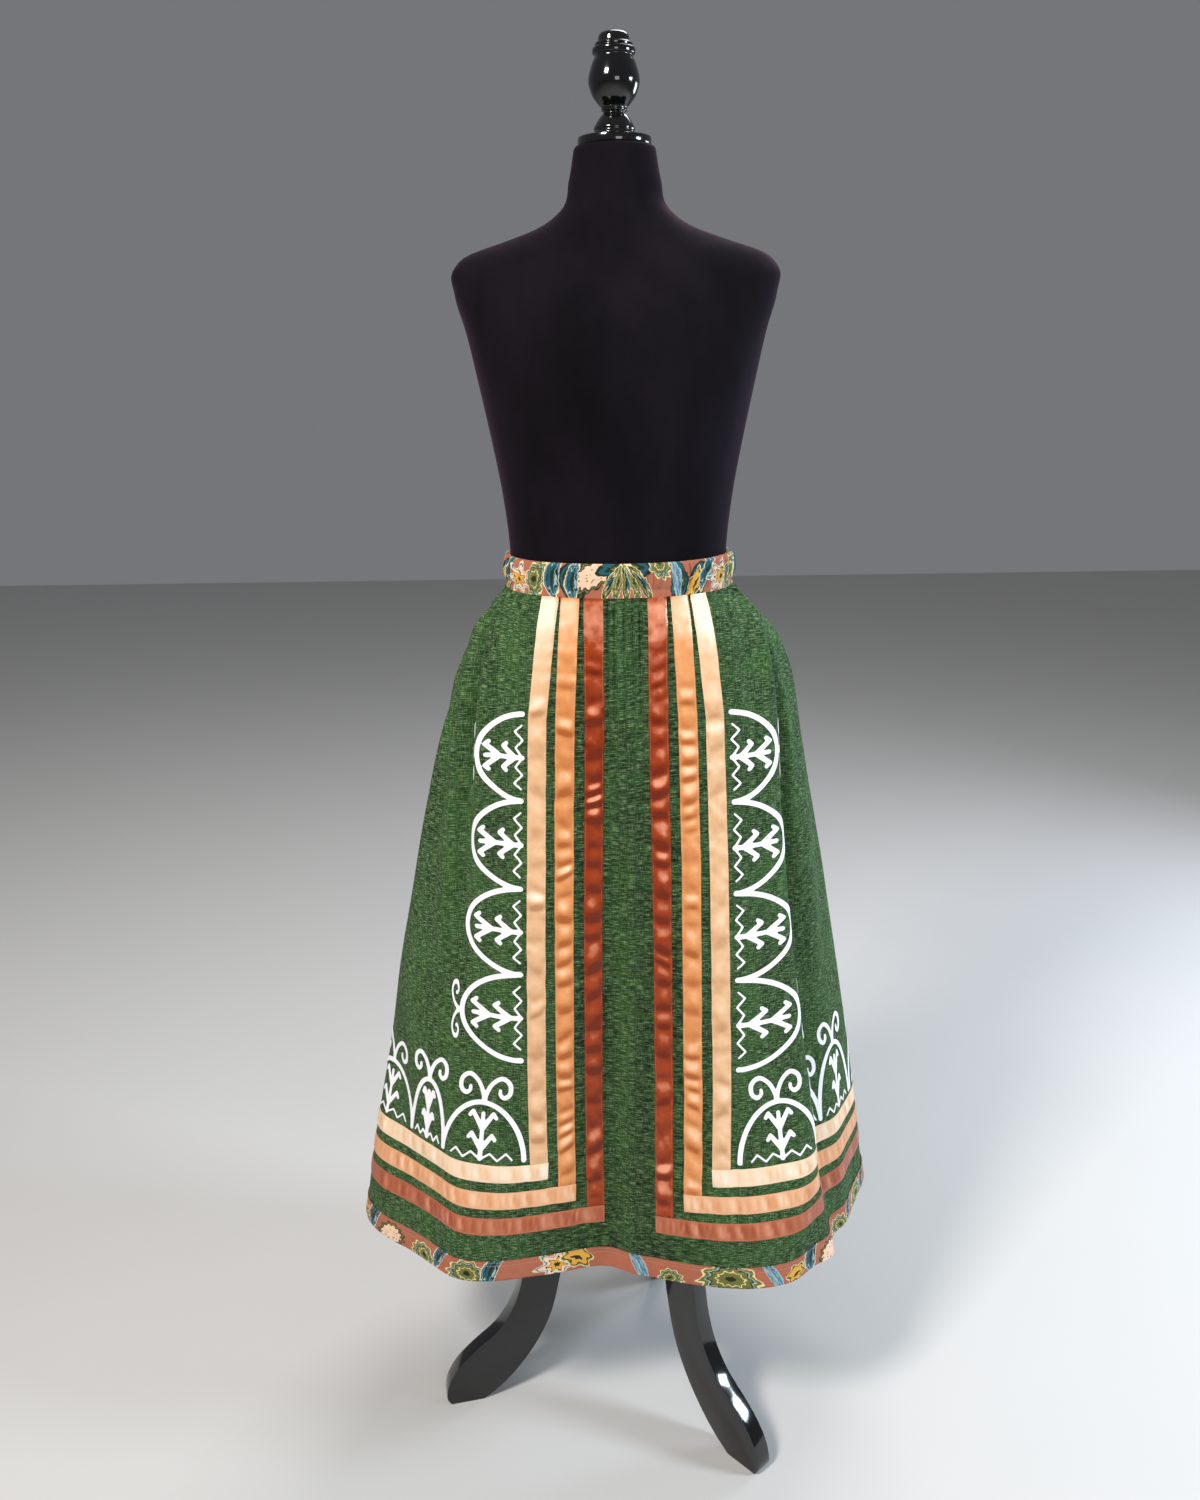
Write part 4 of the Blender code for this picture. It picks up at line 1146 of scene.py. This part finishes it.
# white applique: chains of domes that share their feet, each with a branched stem and a zigzag,
# and on some a pair of scrolls
applique = {
    "cell": 0.0016, "lift": 0.0003, "wall": 0.0005,
    # the flat sheet it is cut from reaches past the domes: to the sides, and up for the scrolls
    "margin": 0.006, "headroom": 0.042,
    "leastFill": 0.301,
    # one dome at full size, x across, y up and half width; branches and scrolls are drawn on both sides
    "width": 0.106, "tall": 0.0776, "archHalf": 0.0031,
    "stem": ((0.0, 0.003, 0.0030), (0.0, 0.030, 0.0027), (0.0, 0.0605, 0.0026)),
    "branches": (
        ((0.0, 0.0150, 0.0034), (0.0128, 0.0335, 0.0027), (0.0165, 0.0285, 0.0025)),
        ((0.0, 0.0410, 0.0034), (0.0132, 0.0615, 0.0027), (0.0170, 0.0565, 0.0025)),
    ),
    "zigzag": ((0.0, 0.0020, 0.0013), (0.0118, 0.0105, 0.0012), (0.0212, 0.0020, 0.0012),
               (0.0315, 0.0118, 0.0012), (0.0390, 0.0035, 0.0011)),
    # measured up from the top of the arch
    "scroll": (
        (0.0008, 0.0010, 0.0030), (0.0015, 0.0100, 0.0030), (0.0090, 0.0250, 0.0027),
        (0.0215, 0.0335, 0.0028), (0.0318, 0.0270, 0.0029), (0.0325, 0.0150, 0.0029),
        (0.0258, 0.0090, 0.0028), (0.0203, 0.0128, 0.0024), (0.0200, 0.0178, 0.0022),
    ),
    # heights of the feet of the domes beside the cream ribbons, the domes' reach outwards, and
    # whether they bear scrolls, from the top down; side -1 is left
    "joints": {-1: (0.990, 0.890, 0.7865, 0.6825, 0.5745), 1: (0.989, 0.886, 0.7785, 0.6745, 0.5635)},
    "reach": {-1: (0.0605, 0.0695, 0.0765, 0.0820), 1: (0.0640, 0.0735, 0.082, 0.089)},
    "scrolls": (True, False, False, True),
    "gap": {-1: 0.0045, 1: 0.0060},
    # scrolls beside the ribbons lie on the slope of a fold, which takes up their height
    "slopeShare": {-1: 0.34, 1: 0.32},
    # feet of the domes above the cream ribbon that goes round, as lengths along the cloth, and
    # the height of those that are stretched or squeezed by the folds
    "rowBase": 0.4425,
    "rows": {"left": ((-0.4220, -0.3020), (-0.3020, -0.2400, 0.0860), (-0.2400, -0.1320)),
             "right": ((0.1360, 0.2440), (0.2440, 0.3010, 0.0600), (0.3010, 0.3860, 0.0960))},
    "backDomes": 9, "backGap": 0.0066,
}


def strokeReach(x, y, points):
    # distance outside a stroke whose half width changes along it
    nearest = np.full_like(x, 9.0)
    for (ax, ay, aw), (bx, by, bw) in zip(points, points[1:]):
        dx, dy = bx - ax, by - ay
        t = np.clip(((x - ax) * dx + (y - ay) * dy) / (dx * dx + dy * dy), 0, 1)
        nearest = np.minimum(nearest, np.hypot(x - ax - t * dx, y - ay - t * dy) - aw - (bw - aw) * t)
    return nearest


def domeReach(x, y, width, tall, scrolls):
    across, up, half = width / applique["width"], tall / applique["tall"], applique["archHalf"]
    turns = np.linspace(0, math.pi, 49)
    # an ellipse whose legs lean in a little above the feet
    strokes = [[(width / 2 * math.cos(t) * (1 - 0.035 * abs(math.sin(2 * t))),
                 half + (tall - 2 * half) * math.sin(t), half) for t in turns],
               [(px, py * up, w) for px, py, w in applique["stem"]]]
    for side in (-1, 1):
        for branch in applique["branches"]:
            strokes.append([(side * px * across, py * up, w) for px, py, w in branch])
        strokes.append([(side * px * across, py, w) for px, py, w in applique["zigzag"]])
        if scrolls:
            strokes.append(smoothRun([(side * px * max(across, 0.85), tall - half + py, w)
                                      for px, py, w in applique["scroll"]], 5))
    return np.minimum.reduce([strokeReach(x, y, stroke) for stroke in strokes])


def makeChain(name, domes, place):
    # cut from a flat sheet along the outline, then laid on the cloth; a dome is middle, width,
    # tall, scrolls
    tallest = max(dome[2] for dome in domes)
    start = min(dome[0] - dome[1] / 2 for dome in domes) - applique["margin"]
    end = max(dome[0] + dome[1] / 2 for dome in domes) + applique["margin"]
    high = tallest + applique["headroom"]
    sheet = bmesh.new()
    bmesh.ops.create_grid(sheet, x_segments=int((end - start) / applique["cell"]),
                          y_segments=int(high / applique["cell"]), size=0.5)
    bmesh.ops.scale(sheet, verts=sheet.verts, vec=(end - start, high, 1))
    bmesh.ops.translate(sheet, verts=sheet.verts, vec=((start + end) / 2, high / 2 - 0.001, 0))
    flat = np.array([vert.co[:2] for vert in sheet.verts])
    outside = np.full(len(flat), 9.0)
    for middle, width, tall, scrolls in domes:
        near = np.abs(flat[:, 0] - middle) < width / 2 + 0.012
        x, y = flat[near, 0] - middle, flat[near, 1]
        outside[near] = np.minimum(outside[near], domeReach(x, y, width, tall, scrolls))
    outside[np.abs(outside) < 2e-5] = -2e-5
    beyond = outside > 0
    empty = [face for face in sheet.faces if all(beyond[vert.index] for vert in face.verts)]
    outline = []
    for edge in list(sheet.edges):
        a, b = edge.verts
        if beyond[a.index] != beyond[b.index]:
            da, db = outside[a.index], outside[b.index]
            outline.append((edge, a, da / (da - db)))
    wasOut = {vert for vert in sheet.verts if beyond[vert.index]}
    bmesh.ops.delete(sheet, geom=empty, context="FACES")
    onLine = [bmesh.utils.edge_split(edge, vert, share)[1] for edge, vert, share in outline if edge.is_valid]
    bmesh.ops.connect_verts(sheet, verts=onLine, check_degenerate=False)
    away = [face for face in sheet.faces if any(vert in wasOut for vert in face.verts)]
    bmesh.ops.delete(sheet, geom=away, context="FACES")
    area = sum(face.calc_area() for face in sheet.faces)
    mesh = meshFrom(sheet, name)
    flat = np.array([vert.co[:2] for vert in mesh.vertices])
    setPlaces(mesh, onCloth(*place(flat[:, 0], flat[:, 1]), applique["lift"] + applique["wall"]))
    setMap(mesh, flat)
    piece = settle(newPiece(name, mesh, whiteApplique), 50, applique["wall"])
    bindPiece(piece, "white_applique")


def makeApplique():
    for side, sideName in ((-1, "left"), (1, "right")):
        joints, reaches = applique["joints"][side], applique["reach"][side]
        centre = (joints[0] + joints[-1]) / 2
        domes = [(side * (centre - (high + low) / 2), high - low, reach, scrolls)
                 for high, low, reach, scrolls in zip(joints, joints[1:], reaches, applique["scrolls"])]
        middles, talls = zip(*sorted((dome[0], dome[2]) for dome in domes))

        def beside(x, y, side=side, centre=centre, middles=middles, talls=talls):
            height = centre - side * x
            top = np.interp(x, middles, talls)
            out = np.minimum(y, top) + applique["slopeShare"][side] * np.clip(y - top, 0, None)
            return side * (freeEdge(height) + applique["gap"][side] + out), height

        makeChain(sideName + "DomeColumn", domes, beside)
    base = applique["rowBase"]
    girth = girthAt(base)

    def above(x, y):
        height = base + y
        return wrapped(x * girthAt(height) / girth, girthAt(height)), height

    rows = dict(applique["rows"])
    first, last = rows["right"][-1][1], girth + rows["left"][0][0]
    feet = np.linspace(first + applique["backGap"], last - applique["backGap"], applique["backDomes"] + 1)
    rows["back"] = list(zip(feet, feet[1:]))
    for rowName, spans in rows.items():
        domes = [((a + b) / 2, b - a, *(tall or [applique["tall"]]), True) for a, b, *tall in spans]
        makeChain(rowName + "DomeRow", domes, above)


makeApplique()
print("applique made")


# sewing: short raised stitches along every ribbon and the hem
sewing = {"pitch": 0.0030, "length": 0.0024, "width": 0.00055, "inset": 0.0014}


def sewLines(name, slotName, thread, lines):
    # each line is given by the places along it; one stitch lies between neighbours
    middles, ways, outs = [], [], []
    for points in lines:
        run = points[1:] - points[:-1]
        middles.append((points[1:] + points[:-1]) / 2)
        ways.append(run / np.linalg.norm(run, axis=1)[:, None])
        away = middles[-1] - np.array([poleX, poleY, 0])
        away[:, 2] = 0
        outs.append(away / np.linalg.norm(away, axis=1)[:, None])
    middles, ways, outs = (np.concatenate(group) for group in (middles, ways, outs))
    acrosses = np.cross(ways, outs)
    acrosses /= np.linalg.norm(acrosses, axis=1)[:, None]
    outs = np.cross(acrosses, ways)
    ball = bmesh.new()
    bmesh.ops.create_icosphere(ball, subdivisions=1, radius=1.0)
    shape = np.array([vert.co[:] for vert in ball.verts])
    piece = newPiece(name, meshFrom(ball, name), thread)
    copies = piece.modifiers.new("copies", "ARRAY")
    copies.count = len(middles)
    copies.use_relative_offset = False
    copies.use_constant_offset = True
    copies.constant_offset_displace = (0, 0, 0)
    settle(piece, 180)
    setPlaces(piece.data, middles[:, None, :] + shape[None, :, 0:1] * ways[:, None, :] * sewing["length"] / 2
              + shape[None, :, 1:2] * acrosses[:, None, :] * sewing["width"] / 2
              + shape[None, :, 2:3] * outs[:, None, :] * sewing["width"] / 2)
    bindPiece(piece, slotName)
    print(name, "made,", len(middles), "stitches")


def makeStitches():
    width, inset = uprights["width"], sewing["inset"]
    on = ribbons["underLift"] + ribbons["wall"] + 0.0001
    for colour in uprights["order"]:
        lines = []
        low = cloth["hem"] + ribbons["rise"][colour]
        heights = np.arange(low + width, cloth["seam"] - 0.001, sewing["pitch"])
        for side in (-1, 1):
            for across in (inset, width - inset):
                along = side * (innerEdge(colour, heights) + across) + ribbonWander(colour, side, heights)
                lines.append(onCloth(along, heights, on))
        for up in (inset, width - inset):
            height = low + up
            start, girth = innerEdge(colour, height), girthAt(height)
            along = np.arange(start + 0.0008, girth - start, sewing["pitch"])
            lift = on + cornerLift(along - start, girth - 2 * start)
            lines.append(onCloth(wrapped(along, girth), 0 * along + height, lift))
        sewLines(colour + "Stitches", colour + "_satin", threads[colour], lines)
    lines = []
    for line in bands["hemStitches"]:
        height = cloth["hem"] + bands["hemWidth"] - line
        along = np.arange(0, girthAt(height), sewing["pitch"]) - girthAt(height) / 2
        lines.append(onCloth(along, 0 * along + height, bands["hemOut"] - 0.0001))
    sewLines("hemStitches", "printed_cotton", threads["hem"], lines)


threads = {
    "rust": makeThread("saddleThread", "#c4846a"), "orange": makeThread("apricotThread", "#f0c098"),
    "cream": makeThread("creamThread", "#f4dcc0"), "hem": makeThread("clayThread", "#d6a48c"),
}
makeStitches()


# a pale floor, soft studio light and the camera
studio = {
    "floor": "#c8c6c3", "world": (0.80, 0.83, 0.88, 1.0), "worldStrength": 0.22,
    # name, place, aim, size, power, colour
    "lights": (
        ("keyLight", (-1.45, -1.90, 3.20), (0.0, -0.1, 0.75), 0.6, 116.0, (1.0, 0.97, 0.93)),
        ("frontLight", (0.75, -3.4, 1.45), (0.0, -0.1, 0.65), 1.1, 18.0, (1.0, 0.98, 0.96)),
        ("sideLight", (2.5, -0.55, 1.7), (0.0, 0.0, 0.6), 0.6, 56.0, (0.74, 0.88, 1.0)),
        ("topLight", (0.5, 1.2, 3.1), (0.0, 0.0, 0.9), 1.2, 34.0, (1.0, 1.0, 1.0)),
        ("rimLight", (2.3, 1.35, 1.2), (0.25, -0.1, 0.45), 0.8, 28.0, (0.76, 0.84, 1.0)),
    ),
    "camera": {"away": 1.50, "aside": -0.0242, "height": 1.366, "pitch": 16.72, "roll": 0.77,
               "lens": 30.864},
}


def makeStudio():
    ground = bmesh.new()
    bmesh.ops.create_grid(ground, x_segments=1, y_segments=1, size=7.0)
    material = newMaterial("paintedFloor", Roughness=0.8)
    cloudy = noise(material, objectPlace(material), 3.0, 3.0)
    shade = dimmed(toLinear(studio["floor"]), 0.96)
    dress(material, Base_Color=mix(material, cloudy, shade, studio["floor"]))
    newPiece("paleFloor", meshFrom(ground, "paleFloor"), material)
    world = bpy.data.worlds.new("softSky")
    bpy.context.scene.world = world
    world.use_nodes = True
    background = world.node_tree.nodes["Background"]
    background.inputs[0].default_value = studio["world"]
    background.inputs[1].default_value = studio["worldStrength"]
    for name, place, aim, size, power, colour in studio["lights"]:
        lamp = bpy.data.lights.new(name, "AREA")
        lamp.shape, lamp.size, lamp.energy, lamp.color = "SQUARE", size, power, colour
        holder = bpy.data.objects.new(name, lamp)
        holder.location = place
        holder.rotation_euler = (Vector(aim) - Vector(place)).to_track_quat("-Z", "Y").to_euler()
        bpy.context.scene.collection.objects.link(holder)


def makeCamera():
    look = studio["camera"]
    pitch, roll = math.radians(look["pitch"]), math.radians(look["roll"])
    right = Vector((1, 0, 0))
    ahead = Vector((0, math.cos(pitch), -math.sin(pitch)))
    down = Vector((0, -math.sin(pitch), -math.cos(pitch)))
    turned = Matrix((right * math.cos(roll) + down * math.sin(roll),
                     right * math.sin(roll) - down * math.cos(roll), -ahead)).transposed().to_4x4()
    data = bpy.data.cameras.new("photoCamera")
    data.sensor_fit, data.sensor_height, data.sensor_width, data.lens = "VERTICAL", 36, 36, look["lens"]
    camera = bpy.data.objects.new("photoCamera", data)
    place = Matrix.Translation((poleX + look["aside"], poleY - look["away"], look["height"]))
    camera.matrix_world = place @ turned
    bpy.context.scene.collection.objects.link(camera)
    bpy.context.scene.camera = camera


makeStudio()
makeCamera()
bpy.context.scene.view_settings.view_transform = "Standard"
